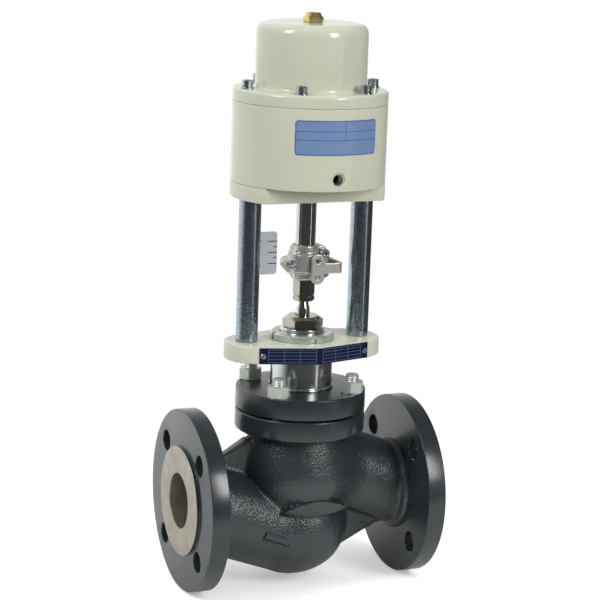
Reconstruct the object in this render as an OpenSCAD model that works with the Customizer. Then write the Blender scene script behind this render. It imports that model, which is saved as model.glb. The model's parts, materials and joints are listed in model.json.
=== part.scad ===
// Pneumatic on-off valve: a flanged cast globe body, a gland and yoke on two
// pillars, and a spring return piston actuator, joined by a split clamp coupling.
// Millimetres. The origin is the centre of the inlet's raised face, +X runs along
// the pipe to the outlet and +Z up along the stem. The valve is shown closed.

/* [Pipe ends] */
// Length between the two raised faces
face_to_face = 230; // [226:1:250]
// Bore of the two ports
port_d = 50; // [46:1:51]
// Outer diameter of an end flange
flange_d = 165; // [160:1:180]
// Thickness of an end flange with its raised face
flange_t = 20; // [18:1:22]
// Distance of the raised face's edge from the bolt holes
raised_margin = 3.5; // [1:0.5:7]
// Height of the raised face
raised_h = 3; // [1:0.5:4]
// Distance of the bolt holes' centres from the flange's edge
flange_hole_in = 20; // [15:0.5:22]
// Diameter of a flange bolt hole
flange_hole_d = 19; // [14:1:20]
// Number of bolt holes in an end flange
flange_holes = 4; // [4, 8]

/* [Cast body] */
// Outer diameter of the inlet duct
inlet_duct_d = 79; // [76:1:82]
// Outer diameter of the outlet duct
outlet_duct_d = 72; // [70:1:76]
// Outer diameter of the bowl under the seat
bowl_d = 88; // [86:1:94]
// Depth of the bowl's centre under the pipe axis
bowl_depth = 31; // [30:0.5:34]
// Overhang of the joint flange beyond the upper chamber
joint_lip = 6; // [3:0.5:8]
// Height of the joint face above the pipe axis
body_h = 79.5; // [78:0.5:90]
// Diameter of the joint flanges of body and bonnet
joint_d = 118; // [116:1:130]
// Thickness of the body's joint flange
joint_t = 18; // [16:0.5:20]
// Thickness of the two casting webs
web_t = 12; // [8:1:16]

/* [Seat and stem] */
// Bore of the seat ring
seat_bore = 48; // [44:1:50]
// Width of the seat ring from its bore to its outside
seat_ring_w = 8; // [6.5:0.5:8.5]
// Height of the seat face above the pipe axis
seat_z = 12; // [11:0.5:14]
// Lift of the stem from closed to open
lift = 20; // [10:1:20]
// Diameter of the plug
plug_d = 60; // [57:1:62]
// Thickness of the plug above its seal
plug_t = 12; // [8:1:14]
// Diameter of the valve stem
stem_d = 12; // [11:0.5:13]
// Diameter of the threaded stem end
stem_end_d = 8; // [7:0.5:9]

/* [Bonnet and gland] */
// Thickness of the gasket between body and bonnet
gasket_t = 1.5; // [1:0.25:3]
// Thickness of the bonnet
bonnet_t = 18.7; // [16:0.1:22]
// Diameter of the studs
stud_d = 12; // [10:1:12]
// Distance of the studs' centres from the joint flanges' edge
stud_in = 9; // [8:0.5:10]
// Diameter of the bright neck above the bonnet
neck_d = 56; // [52:1:58]
// Height of the neck between bonnet and yoke plate
neck_h = 28.8; // [26:0.1:40]
// Diameter of the threaded end of the neck
neck_thread_d = 40; // [38:0.5:42]
// Diameter of the slotted ring nut
ring_nut_d = 57; // [54:1:60]
// Height of the slotted ring nut
ring_nut_h = 6.5; // [5:0.5:8]
// Hexagon of the gland nut across its flats
gland_af = 32; // [30:1:34]
// Height of the gland nut's hexagon
gland_h = 10.6; // [8:0.1:12]
// Number of packing rings
packing_count = 5; // [3:1:6]

/* [Yoke] */
// Thickness of the yoke plate
yoke_t = 15.5; // [14:0.5:20]
// Reach of the yoke plate's middle to the front and the back
yoke_front = 42; // [40:1:48]
// Radius of the yoke plate's round ends
yoke_end_r = 29; // [26:1:31]
// Distance from the stem to a pillar
pillar_x = 54; // [53:0.5:56]
// Diameter of the pillars
pillar_d = 20; // [18:1:22]
// Free length of the pillars
pillar_l = 129.9; // [125:0.1:160]
// Height of the stroke scale plate
scale_h = 38.5; // [34:0.5:44]
// Reach of the stroke scale plate from its pillar's centre
scale_reach = 24.8; // [20:0.1:25]
// Pitch of the marks on the stroke scale
scale_pitch = 5; // [4:0.5:6]

/* [Coupling] */
// Diameter of the actuator rod
rod_d = 18; // [16:0.5:18]
// Height of the clamp coupling
clamp_h = 31; // [30:0.5:36]
// Width of the clamp coupling across its ears
clamp_w = 39; // [37:0.5:40]
// Thickness of the clamp coupling across its two ears
ear_t = 16.8; // [15:0.2:18]
// Diameter of the clamp's middle barrel
barrel_d = 30; // [28:0.5:31]
// Diameter of the clamp's end collars
collar_d = 23; // [22:0.5:25]
// Hexagon of the stem adapter across its flats
adapter_af = 17; // [16:0.5:19]
// Height of the stem adapter's hexagon
adapter_h = 15; // [12:0.5:18]
// Spacing of the two holes in the feedback bracket
bracket_hole_gap = 15; // [12:0.5:17]
// Thickness of the feedback bracket's sheet
bracket_t = 2; // [1.5:0.25:2.5]

/* [Actuator] */
// Outer diameter of the actuator cylinder
casing_d = 138.2; // [136:0.2:146]
// Bore of the actuator cylinder
cylinder_bore = 110; // [106:1:112]
// Height of the actuator cylinder
cylinder_h = 71.4; // [70:0.1:90]
// Thickness of the cover under the cylinder
cover_t = 13.7; // [12:0.1:16]
// Distance of the cover's flat sides from the stem
cover_flat = 40; // [38:0.5:46]
// Diameter of the tapped air port
air_port_d = 11.7; // [9:0.1:13]
// Thickness of the spring housing's flange
housing_flange_t = 8.8; // [8:0.1:12]
// Diameter of the spring dome
dome_d = 99; // [97:1:101]
// Height of the spring dome above its flange
dome_h = 60.2; // [55:0.1:70]
// Number of screws round the spring housing
housing_screws_count = 6; // [4:1:8]
// Hexagon of the vent plug across its flats
vent_af = 16; // [14:1:19]
// Turns of the main spring
spring_turns = 7; // [5:1:8]

/* [Hidden] */
$fn = 96;
// Sides of a hexagon
hex = 6;
// Ratio of a hexagon's corners to its flats
corner_share = 1 / cos(30);
// Overrun of the cuts
over = 0.5;
// Radial clearance of running fits and of threads
run_gap = 0.05;
// Radial clearance of pieces that are let into one another
slip_gap = 0.15;
// Clearance between the closed plug and its seat
seat_gap = 0.02;
// Chamfer on machined edges
edge = 1;

// Pipe ends
half = face_to_face / 2;
port_r = port_d / 2;
flange_r = flange_d / 2;
flange_pcd = flange_d - 2 * flange_hole_in;
raised_d = flange_pcd - flange_hole_d - 2 * raised_margin;
// The outlet's bolt holes are drilled this much wider than the inlet's
drill_step = 0.4;
port_straight = 26;
bend_x = half - port_straight;
bend_clear = 0.6;
rim_step = 1;
rim_round = 5;

// Ducts, bowl and chamber of the body
inlet_r = inlet_duct_d / 2;
inlet_fall = 6;
inlet_end_x = -12;
inlet_end_drop = 5;
outlet_r = outlet_duct_d / 2;
outlet_end_x = 30;
outlet_end_z = 25.5;
bowl_r = bowl_d / 2;
bowl_x = 2;
chamber_foot_r = 40;
chamber_foot_z = -12;
chamber_knee_z = 15;
joint_r = joint_d / 2;
joint_under = body_h - joint_t;
chamber_r = joint_r - joint_lip;
stud_pcd = joint_d - 2 * stud_in;
web_drop = 7.5;
web_left_run = 33;
web_left_fall = 21;
web_right_x = 36;
web_right_z = -58;
web_right_end_x = 88;
web_right_end_z = -33;

// Passages inside the body
body_wall = 9;
seat_ring_d = seat_bore + 2 * seat_ring_w;
seat_step_h = 4;
floor_z = seat_z - seat_step_h;
recess_z = floor_z - seat_step_h;
floor_margin = 1;
floor_r = seat_ring_d / 2 + floor_margin;
cavity_r = chamber_r - body_wall;
cavity_flare = 16;
cavity_neck = 10;
opening_margin = 14;
opening_r = stud_pcd / 2 - opening_margin;
throat_r = 21;
throat_x = 44;
throat_z = floor_z + throat_r;
bowl_wall = 13;
bowl_cavity_r = bowl_r - bowl_wall;
bowl_cavity_drop = 3;

// Cast pads on the body's front
rating_w = 64;
rating_h = 17;
rating_z = -3;
rating_in = 5.5;
rating_depth = 12;
frame_w = 27;
frame_h = 8;
frame_wall = 1.5;
frame_x = -33.5;
frame_z = -32.3;
frame_rise = 1.2;
frame_depth = 6;
frame_tilt = 21;

// Seat, plug and stem
stem_r = stem_d / 2;
lip_h = 1;
lip_w = 3.5;
seal_t = 4;
seal_z = seat_z + seat_gap;
seal_in = 1;
plug_z = seal_z + seal_t;
plug_top = plug_z + plug_t;
plug_round = 3;
plug_step = 1;
plug_thread_r = stem_r - plug_step;
plug_washer_t = 3;
plug_washer_gap = 2.5;
plug_nut_af = 17;
plug_nut_h = 8;
plug_nut_z = seal_z - plug_washer_t - plug_nut_h;
stem_tip = 2;

// Heights up the stem
bonnet_z = body_h + gasket_t;
bonnet_top = bonnet_z + bonnet_t;
yoke_z = bonnet_top + neck_h;
yoke_top = yoke_z + yoke_t;
ring_top = yoke_top + ring_nut_h;
neck_stub = 4.1;
neck_top = ring_top + neck_stub;
gland_top = neck_top + gland_h;
stem_free = 6;
taper_z = gland_top + stem_free;
taper_h = 7.5;
lock_z = taper_z + taper_h;
lock_h = 5;
adapter_z = lock_z + lock_h;
clamp_z = adapter_z + adapter_h;
clamp_top = clamp_z + clamp_h;
cover_z = yoke_top + pillar_l;
cylinder_z = cover_z + cover_t;
housing_z = cylinder_z + cylinder_h;
dome_z = housing_z + housing_flange_t;
dome_top = dome_z + dome_h;

// Bonnet, studs and gland
gasket_margin = 7;
bonnet_spigot_h = 9;
stud_r = stud_d / 2;
stud_hole_gap = 0.6;
stud_depth = 14;
stud_end = 6;
studs = 4;
nut_af_share = 1.55;
nut_h_share = 0.9;
stud_nut_af = stud_d * nut_af_share;
stud_nut_h = stud_d * nut_h_share;
neck_r = neck_d / 2;
neck_foot_h = 1.8;
neck_foot_w = 1.2;
neck_thread_r = neck_thread_d / 2;
neck_spigot_w = 2;
neck_spigot_h = 10;
guide_w = 3;
guide_h = 12;
guide_z = bonnet_z - bonnet_spigot_h;
stem_clear = 0.6;
packing_r = 15;
packing_floor = 8.3;
packing_z = bonnet_top + packing_floor;
packing_washer_t = 4;
packing_h = 4.8;
packing_bevel = 0.5;
gland_bush_h = 6;
gland_bush_z = packing_z + packing_washer_t + packing_count * packing_h;
gland_bevel = 1.6;
slot_w = 5;
slot_depth = 3;
ring_slots = 4;

// Yoke plate, name plate, pillars and stroke scale
pillar_r = pillar_d / 2;
yoke_reach = 73.5;
yoke_end_x = yoke_reach - yoke_end_r;
yoke_far = norm([yoke_end_x, yoke_front]);
// Turn and length of the plate's straight front sides, and where they end
front_turn = atan2(yoke_front, yoke_end_x) - asin(yoke_end_r / yoke_far);
front_half = sqrt(pow(yoke_far, 2) - pow(yoke_end_r, 2));
front_x = front_half * cos(front_turn);
front_y = yoke_front - front_half * sin(front_turn);
name_t = 0.8;
name_margin = 0.5;
name_screw_in = 3.6;
name_screw_head_r = 2.6;
name_screw_head_h = 1.4;
name_screw_r = 1.25;
name_screw_l = 6;
pillar_screw_r = 5;
pillar_screw_head_r = 8;
pillar_screw_head_h = 8;
pillar_screw_in = 12;
pillar_spigot_r = 7;
pillar_spigot_h = 9;
pillar_slot_in = 4;
scale_t = 1;
scale_y = -5;
scale_round = 3;
mark_first = 9.9;
mark_t = 0.15;
mark_w = 0.8;
mark_long = 8.7;
mark_short = 3.6;
marks = floor(lift / scale_pitch) + 1;
scale_screw_r = 1.25;
scale_screw_head_r = 2.4;
scale_screw_head_h = 1.6;
scale_screw_out = 2;
scale_screw_rise = 8;
scale_head_y = sqrt(pow(pillar_r, 2) - pow(pillar_r - scale_screw_out, 2));

// Clamp coupling, pointer and feedback bracket
rod_r = rod_d / 2;
stem_end_r = stem_end_d / 2;
barrel_r = barrel_d / 2;
collar_r = collar_d / 2;
split = 1;
clamp_neck_h = 4.5;
clamp_head_h = 5;
clamp_neck_in = 2;
barrel_low = 7.2;
barrel_h = 17;
ear_cut = 5;
lock_af = adapter_af;
clamp_screw_x = 14.4;
clamp_screw_rise = 8.8;
clamp_screw_r = 2.5;
clamp_screw_head_r = 4.25;
clamp_screw_head_h = 5;
clamp_screw_key = 4;
clamp_screw_key_h = 2.5;
pocket_gap = 0.5;
ear_floor = 1.5;
pointer_t = 2;
pointer_reach = 8.5;
pointer_half = 9;
pointer_in = 5;
pointer_low = 16.1;
pointer_screw_x = 17.3;
pointer_screw_r = 2;
pointer_screw_head_r = 3.6;
pointer_screw_head_h = 2.6;
bracket_x = 4.9;
bracket_plate_w = 12.6;
bracket_low = -2.2;
bracket_y = -20;
bracket_reach = 29;
bracket_arm_h = 9.6;
bracket_arm_low = 7.4;
bracket_hole_r = 2.25;
bracket_foot_x = 12.9;
bracket_screw_x = 16.6;
bracket_screw_r = 2;
bracket_screw_head_r = 3.6;
bracket_screw_head_h = 2.4;
pointer_z = clamp_z + pointer_low;
scale_z = pointer_z - mark_first;
bracket_mid = clamp_z + bracket_low + (bracket_plate_w + bracket_hole_gap) / 2;

// Actuator
casing_r = casing_d / 2;
bore_r = cylinder_bore / 2;
cover_spigot_h = 4.5;
rod_bush_w = 3;
rod_bush_h = 8;
rod_bush_in = 2;
rod_seal_w = 4;
cover_screw_r = 3;
cover_screw_head_r = 5;
cover_screw_head_h = 6;
cover_screw_in = 14;
cover_screw_angle = 22;
port_rise = 10.4;
screw_circle = 60;
housing_screw_r = 3;
housing_screw_head_r = 5;
housing_screw_head_h = 6;
housing_screw_key = 5;
housing_screw_key_h = 3;
housing_screw_in = 14;
housing_washer_r = 5.8;
housing_washer_t = 1.4;
housing_spigot_h = 4;
dome_wall = 5.5;
dome_round = 10;
dome_fillet = 3;
dome_r = dome_d / 2;
label_w = 79;
label_h = 30;
label_low = 31.9;
label_t = 0.25;
label_gap = 0.1;
piston_rise = 19;
piston_z = cylinder_z + piston_rise;
piston_h = 18;
piston_stop_gap = 0.1;
skirt_top = housing_z - housing_spigot_h - lift - piston_stop_gap;
piston_web = 8;
piston_skirt = 6;
piston_hub_r = 17;
piston_seal_z = 4;
piston_seal_h = 5;
piston_seal_in = 4;
piston_guide_z = 12;
piston_guide_h = 3;
piston_guide_in = 2.5;
piston_thread_in = 2;
piston_nut_af = 22;
piston_nut_h = 10;
rod_top = 3;
spring_r = 36;
spring_wire = 6;
spring_steps = 24;
wire_sides = 8;
spring_seat_t = 3;
spring_seat_w = 7.5;
vent_h = 8.7;
vent_r = 6;
vent_in = 8;
vent_hole_r = 1.5;
vent_bevel = 2;

// Moves a piece from the stem axis to its place along the pipe
module at_stem() translate([half, 0, 0]) children();

// Upright tube
module tube(r_out, r_in, z, h) {
    difference() {
        translate([0, 0, z]) cylinder(r = r_out, h = h);
        translate([0, 0, z - over]) cylinder(r = r_in, h = h + 2 * over);
    }
}

// Upright round bar with chamfered ends
module bar(r, z, h, cut) {
    translate([0, 0, z]) rotate_extrude()
        polygon([[0, 0], [r - cut, 0], [r, cut], [r, h - cut], [r - cut, h], [0, h]]);
}

// Hexagonal block with its corners turned off at the ends
module hex_block(af, z, h, low_cut, top_cut) {
    corner = af * corner_share / 2;
    intersection() {
        translate([0, 0, z]) cylinder(r = corner, h = h, $fn = hex);
        translate([0, 0, z]) rotate_extrude() polygon([
            [0, 0], [corner - low_cut, 0], [corner, low_cut],
            [corner, h - top_cut], [corner - top_cut, h], [0, h]
        ]);
    }
}

// Straight bar or cone between two points of the stem's upright plane
module duct(x1, z1, x2, z2, r1, r2) {
    run = [x2 - x1, z2 - z1];
    translate([x1, 0, z1]) rotate([0, atan2(run[0], run[1]), 0])
        cylinder(r1 = r1, r2 = r2, h = norm(run));
}

// Copies round the stem axis
module around(count, radius, first) {
    for (i = [0 : count - 1])
        rotate([0, 0, first + i * 360 / count]) translate([radius, 0, 0]) children();
}

// Plate standing in the stem's upright plane, drawn in x and z
module upright(y, t) translate([0, y + t, 0]) rotate([90, 0, 0]) linear_extrude(t) children();

// Bar along the y axis that starts at y
module cross_bar(x, y, z, r, l) {
    translate([x, y, z]) rotate([-90, 0, 0]) cylinder(r = r, h = l);
}

// Socket head screw pointing down, with the underside of its head at z
module socket_screw(z, r, l, head_r, head_h, key, key_h) {
    difference() {
        union() {
            translate([0, 0, z - l]) cylinder(r = r, h = l + over);
            bar(head_r, z, head_h, edge / 2);
        }
        translate([0, 0, z + head_h - key_h])
            cylinder(r = key * corner_share / 2, h = key_h + over, $fn = hex);
    }
}

// One end flange with its raised face at the origin, the pipe leaving along +z
module end_flange(neck_r, hole_d) {
    rim_r = neck_r + rim_round + rim_step;
    rim_top = flange_t + rim_round + rim_step;
    difference() {
        rotate_extrude() {
            polygon([
                [0, 0], [raised_d / 2, 0], [raised_d / 2, raised_h],
                [flange_r - edge, raised_h], [flange_r, raised_h + edge],
                [flange_r, flange_t - edge], [flange_r - edge, flange_t],
                [rim_r, flange_t], [rim_r, flange_t + rim_step],
                [rim_r - rim_round, rim_top], [0, rim_top]
            ]);
            translate([rim_r - rim_round, flange_t + rim_step]) circle(r = rim_round);
        }
        around(flange_holes, flange_pcd / 2, 180 / flange_holes)
            translate([0, 0, -over])
                cylinder(d = hole_d, h = flange_t + 2 * over);
    }
}

// Outer casting: two ducts that slope to a bowl and a chamber, and two webs
module body_casting() {
    inlet_end_z = -(bowl_depth + inlet_end_drop);
    web_x = -(half - flange_t);
    duct(web_x, -inlet_fall, inlet_end_x, inlet_end_z, inlet_r, inlet_r);
    translate([inlet_end_x, 0, inlet_end_z]) sphere(r = inlet_r + bend_clear);
    duct(half - flange_t, 0, outlet_end_x, outlet_end_z, outlet_r, outlet_r);
    translate([bowl_x, 0, -bowl_depth]) sphere(r = bowl_r);
    rotate_extrude() polygon([
        [0, chamber_foot_z], [chamber_foot_r, chamber_foot_z],
        [chamber_r, chamber_knee_z], [chamber_r, joint_under + over],
        [0, joint_under + over]
    ]);
    bar(joint_r, joint_under, joint_t, edge);
    upright(-web_t / 2, web_t) polygon([
        [-chamber_r + body_wall, joint_under - web_drop],
        [-chamber_r, joint_under - web_drop],
        [-chamber_r - web_left_run, joint_under - web_drop - web_left_fall],
        [-chamber_r - web_left_run, 0], [-chamber_r + body_wall, 0]
    ]);
    upright(-web_t / 2, web_t) polygon([
        [web_right_x, web_right_z], [web_right_end_x, web_right_end_z],
        [web_right_end_x, 0], [web_right_x, 0]
    ]);
}

// Raised pads of the casting: a lens shaped one and a slanting frame
module body_pads() {
    lens_r = (rating_w * rating_w / rating_h + rating_h) / 4;
    upright(rating_in - chamber_r, rating_depth) intersection() {
        translate([0, rating_z + rating_h / 2 - lens_r]) circle(r = lens_r);
        translate([0, rating_z - rating_h / 2 + lens_r]) circle(r = lens_r);
    }
    translate([frame_x, 0, frame_z]) rotate([0, frame_tilt, 0])
        upright(-inlet_r - frame_rise, frame_depth) difference() {
            square([frame_w, frame_h], center = true);
            square([frame_w - 2 * frame_wall, frame_h - 2 * frame_wall], center = true);
        }
}

// Passages: inlet down to the bowl, up through the seat, out of the chamber
module body_passages() {
    inlet_end_z = -(bowl_depth + inlet_end_drop);
    for (side = [-1, 1]) {
        translate([side * (half + over), 0, 0]) rotate([0, -side * 90, 0])
            cylinder(r = port_r, h = port_straight + over);
        translate([side * bend_x, 0, 0]) sphere(r = port_r + bend_clear);
    }
    duct(-bend_x, 0, inlet_end_x, inlet_end_z, port_r, port_r);
    translate([bowl_x, 0, -bowl_depth - bowl_cavity_drop]) sphere(r = bowl_cavity_r);
    translate([0, 0, -bowl_depth]) cylinder(r = seat_bore / 2, h = bowl_depth + floor_z);
    duct(bend_x, 0, throat_x, throat_z, port_r, throat_r);
    translate([throat_x, 0, throat_z]) sphere(r = throat_r + bend_clear);
    translate([0, 0, recess_z])
        cylinder(r = seat_ring_d / 2 + run_gap, h = seat_step_h + over);
    rotate_extrude() polygon([
        [0, floor_z], [floor_r, floor_z], [cavity_r, floor_z + cavity_flare],
        [cavity_r, joint_under - cavity_neck], [opening_r, joint_under],
        [opening_r, body_h + over], [0, body_h + over]
    ]);
    around(studs, stud_pcd / 2, 180 / studs)
        translate([0, 0, body_h - stud_depth])
            cylinder(r = stud_r + run_gap, h = stud_depth + over);
}

module valve_body() {
    color("#3d434a") at_stem() difference() {
        union() {
            translate([-half, 0, 0]) rotate([0, 90, 0])
                end_flange(inlet_r, flange_hole_d);
            translate([half, 0, 0]) rotate([0, -90, 0])
                end_flange(outlet_r, flange_hole_d + drill_step);
            body_casting();
            body_pads();
        }
        body_passages();
    }
}

module seat_ring() {
    ring_r = seat_ring_d / 2;
    bore = seat_bore / 2;
    low = recess_z;
    color("#a9acae") at_stem() rotate_extrude() polygon([
        [bore, low], [ring_r, low], [ring_r, seat_z - lip_h - edge],
        [ring_r - edge, seat_z - lip_h], [bore + lip_w, seat_z - lip_h],
        [bore + lip_w, seat_z], [bore, seat_z]
    ]);
}

module plug() {
    color("#a9acae") at_stem() rotate_extrude() polygon([
        [plug_thread_r + run_gap, plug_z], [plug_d / 2, plug_z],
        [plug_d / 2, plug_top - plug_round], [plug_d / 2 - plug_round, plug_top],
        [plug_thread_r + run_gap, plug_top]
    ]);
}

module plug_seal() {
    color("#e4e3dc") at_stem()
        tube(plug_d / 2 - seal_in, plug_thread_r + run_gap, seal_z, seal_t);
}

module plug_washer() {
    color("#a9acae") at_stem()
        tube(seat_bore / 2 - plug_washer_gap, plug_thread_r + run_gap,
            seal_z - plug_washer_t, plug_washer_t);
}

module plug_nut() {
    color("#a9acae") at_stem() difference() {
        hex_block(plug_nut_af, plug_nut_z, plug_nut_h, edge, edge);
        translate([0, 0, plug_nut_z - over])
            cylinder(r = plug_thread_r + run_gap, h = plug_nut_h + 2 * over);
    }
}

module valve_stem() {
    foot = plug_nut_z - stem_tip;
    top = clamp_z - edge;
    color("#8b8c8a") at_stem() rotate_extrude() polygon([
        [0, foot], [plug_thread_r - edge, foot], [plug_thread_r, foot + edge],
        [plug_thread_r, plug_top], [stem_r, plug_top], [stem_r, taper_z],
        [stem_end_r, lock_z], [stem_end_r, top - edge], [stem_end_r - edge, top],
        [0, top]
    ]);
}

module bonnet() {
    color("#33363b") at_stem() difference() {
        union() {
            bar(joint_r, bonnet_z, bonnet_t, edge);
            translate([0, 0, bonnet_z - bonnet_spigot_h])
                cylinder(r = opening_r - slip_gap, h = bonnet_spigot_h + over);
        }
        translate([0, 0, guide_z - over])
            cylinder(r = stem_r + guide_w + run_gap, h = guide_h + over);
        translate([0, 0, guide_z]) cylinder(r = stem_r + stem_clear, h = bonnet_top);
        translate([0, 0, bonnet_top - neck_spigot_h])
            cylinder(r = neck_thread_r + neck_spigot_w + run_gap, h = neck_spigot_h + over);
        around(studs, stud_pcd / 2, 180 / studs)
            translate([0, 0, bonnet_z - over])
                cylinder(r = stud_r + stud_hole_gap, h = bonnet_t + 2 * over);
    }
}

module bonnet_gasket() {
    color("#1d1e20") at_stem()
        tube(opening_r + gasket_margin, opening_r + slip_gap, body_h, gasket_t);
}

module bonnet_studs() {
    low = body_h - stud_depth;
    top = bonnet_top + stud_nut_h + stud_end;
    color("#b9bab4") at_stem() around(studs, stud_pcd / 2, 180 / studs)
        bar(stud_r, low, top - low, edge);
}

module bonnet_nuts() {
    color("#b9bab4") at_stem() around(studs, stud_pcd / 2, 180 / studs)
        difference() {
            hex_block(stud_nut_af, bonnet_top, stud_nut_h, edge / 2, edge);
            translate([0, 0, bonnet_top - over])
                cylinder(r = stud_r + run_gap, h = stud_nut_h + 2 * over);
        }
}

module stem_guide() {
    color("#b08a4a") at_stem()
        tube(stem_r + guide_w, stem_r + run_gap, guide_z, guide_h);
}

module bonnet_neck() {
    low = bonnet_top - neck_spigot_h;
    foot_r = neck_r + neck_foot_w;
    spigot_r = neck_thread_r + neck_spigot_w;
    color("#c3c6c4") at_stem() rotate_extrude() polygon([
        [stem_r + stem_clear, low], [spigot_r, low], [spigot_r, bonnet_top],
        [foot_r, bonnet_top], [foot_r, bonnet_top + neck_foot_h],
        [neck_r, bonnet_top + neck_foot_h + edge], [neck_r, yoke_z - edge],
        [neck_r - edge, yoke_z], [neck_thread_r, yoke_z],
        [neck_thread_r, neck_top - edge], [neck_thread_r - edge, neck_top],
        [packing_r, neck_top], [packing_r, packing_z],
        [stem_r + stem_clear, packing_z]
    ]);
}

module packing_washer() {
    color("#a9acae") at_stem()
        tube(packing_r - run_gap, stem_r + stem_clear, packing_z, packing_washer_t);
}

module packing_rings() {
    low = packing_z + packing_washer_t;
    color("#d9d8d0") at_stem() rotate_extrude() for (i = [0 : packing_count - 1])
        translate([0, low + i * packing_h]) polygon([
            [stem_r + run_gap, 0], [packing_r - run_gap - packing_bevel, 0],
            [packing_r - run_gap, packing_bevel],
            [packing_r - run_gap, packing_h - packing_bevel],
            [packing_r - run_gap - packing_bevel, packing_h],
            [stem_r + run_gap, packing_h]
        ]);
}

module gland_bush() {
    color("#b08a4a") at_stem()
        tube(packing_r - run_gap, stem_r + run_gap, gland_bush_z, gland_bush_h);
}

module gland_nut() {
    low = gland_bush_z + gland_bush_h;
    color("#9d9a90") at_stem() difference() {
        union() {
            translate([0, 0, low]) cylinder(r = packing_r - run_gap, h = neck_top - low + over);
            hex_block(gland_af, neck_top, gland_h, edge / 2, gland_bevel);
        }
        translate([0, 0, low - over])
            cylinder(r = stem_r + stem_clear, h = gland_top - low + 2 * over);
    }
}

module ring_nut() {
    ring_r = ring_nut_d / 2;
    color("#c3c6c4") at_stem() difference() {
        bar(ring_r, yoke_top, ring_nut_h, edge);
        translate([0, 0, yoke_top - over])
            cylinder(r = neck_thread_r + run_gap, h = ring_nut_h + 2 * over);
        around(ring_slots, ring_r - slot_depth, 0)
            translate([0, -slot_w / 2, yoke_top - over])
                cube([slot_depth + over, slot_w, ring_nut_h + 2 * over]);
    }
}

// Plan of the yoke plate: straight sides that meet two round ends
module yoke_outline() {
    polygon([
        [0, -yoke_front], [front_x, -front_y], [front_x, front_y],
        [0, yoke_front], [-front_x, front_y], [-front_x, -front_y]
    ]);
    for (side = [-1, 1]) translate([side * yoke_end_x, 0]) circle(r = yoke_end_r);
}

module yoke_plate() {
    color("#c9c9ba") at_stem() difference() {
        translate([0, 0, yoke_z]) linear_extrude(yoke_t) yoke_outline();
        translate([0, 0, yoke_z - over])
            cylinder(r = neck_thread_r + slip_gap, h = yoke_t + 2 * over);
        for (side = [-1, 1]) translate([side * pillar_x, 0, 0]) {
            translate([0, 0, yoke_z - over])
                cylinder(r = pillar_screw_r + run_gap, h = yoke_t + 2 * over);
            translate([0, 0, yoke_z - over])
                cylinder(r = pillar_screw_head_r + slip_gap, h = pillar_screw_head_h + over);
        }
        name_screws(run_gap);
    }
}

// Moves a piece to the front side on one half of the yoke plate
module on_front(side) {
    translate([0, -yoke_front, yoke_z]) rotate([0, 0, side * front_turn]) children();
}

// The two screws of the name plate, with their shanks widened by a clearance
module name_screws(gap) {
    for (side = [-1, 1]) on_front(side)
        cross_bar(side * (front_half - name_screw_in), -name_t - over, yoke_t / 2,
            name_screw_r + gap, name_t + over + name_screw_l);
}

module name_plate() {
    size_z = yoke_t - 2 * name_margin;
    color("#20305f") at_stem() difference() {
        for (side = [-1, 1]) on_front(side) translate([0, 0, name_margin])
            linear_extrude(size_z) polygon([
                [0, 0], [side * front_half, 0], [side * front_half, -name_t],
                [-side * name_t * tan(front_turn), -name_t]
            ]);
        name_screws(run_gap);
    }
}

module name_plate_screws() {
    color("#c9cbca") at_stem() for (side = [-1, 1]) on_front(side)
        translate([side * (front_half - name_screw_in), -name_t, yoke_t / 2])
            rotate([90, 0, 0]) {
                translate([0, 0, -name_t - name_screw_l + over])
                    cylinder(r = name_screw_r, h = name_t + name_screw_l);
                bar(name_screw_head_r, 0, name_screw_head_h, edge / 2);
            }
}

// One pillar about its own axis, bored below for its screw
module pillar() {
    difference() {
        union() {
            bar(pillar_r, yoke_top, pillar_l, edge / 2);
            bar(pillar_spigot_r, cover_z - edge, pillar_spigot_h + edge, edge / 2);
        }
        translate([0, 0, yoke_top - over])
            cylinder(r = pillar_screw_r + run_gap, h = pillar_screw_in + edge + over);
    }
}

module pillar_left() {
    color("#9ea4a6") at_stem() translate([-pillar_x, 0, 0]) difference() {
        pillar();
        translate([pillar_r - pillar_slot_in, scale_y - run_gap, scale_z - run_gap])
            cube([pillar_r, scale_t + 2 * run_gap, scale_h + 2 * run_gap]);
        scale_screw_holes();
    }
}

module pillar_right() {
    color("#9ea4a6") at_stem() translate([pillar_x, 0, 0]) pillar();
}

module pillar_screws() {
    color("#8b8c8a") at_stem() for (side = [-1, 1]) translate([side * pillar_x, 0, 0])
        translate([0, 0, yoke_z + pillar_screw_head_h]) mirror([0, 0, 1])
            socket_screw(0, pillar_screw_r, yoke_t - pillar_screw_head_h + pillar_screw_in,
                pillar_screw_head_r, pillar_screw_head_h - edge, pillar_screw_head_r,
                pillar_screw_head_h / 2);
}

// Holes for the scale's screws and their heads, about the pillar's own axis
module scale_screw_holes() {
    for (rise = [scale_screw_rise, scale_h - scale_screw_rise]) {
        cross_bar(pillar_r - scale_screw_out, -pillar_r, scale_z + rise,
            scale_screw_r + run_gap, 2 * pillar_r);
        cross_bar(pillar_r - scale_screw_out, scale_head_y, scale_z + rise,
            scale_screw_head_r + slip_gap, pillar_r);
    }
}

module scale_plate() {
    w = scale_reach - pillar_r + pillar_slot_in;
    color("#c4c8ca") at_stem()
        translate([-pillar_x + pillar_r - pillar_slot_in, 0, scale_z]) difference() {
            upright(scale_y, scale_t) {
                square([w - scale_round, scale_h]);
                translate([0, scale_round]) square([w, scale_h - 2 * scale_round]);
                for (z = [scale_round, scale_h - scale_round])
                    translate([w - scale_round, z]) circle(r = scale_round);
            }
            translate([pillar_slot_in - pillar_r, 0, -scale_z]) scale_screw_holes();
        }
}

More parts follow.
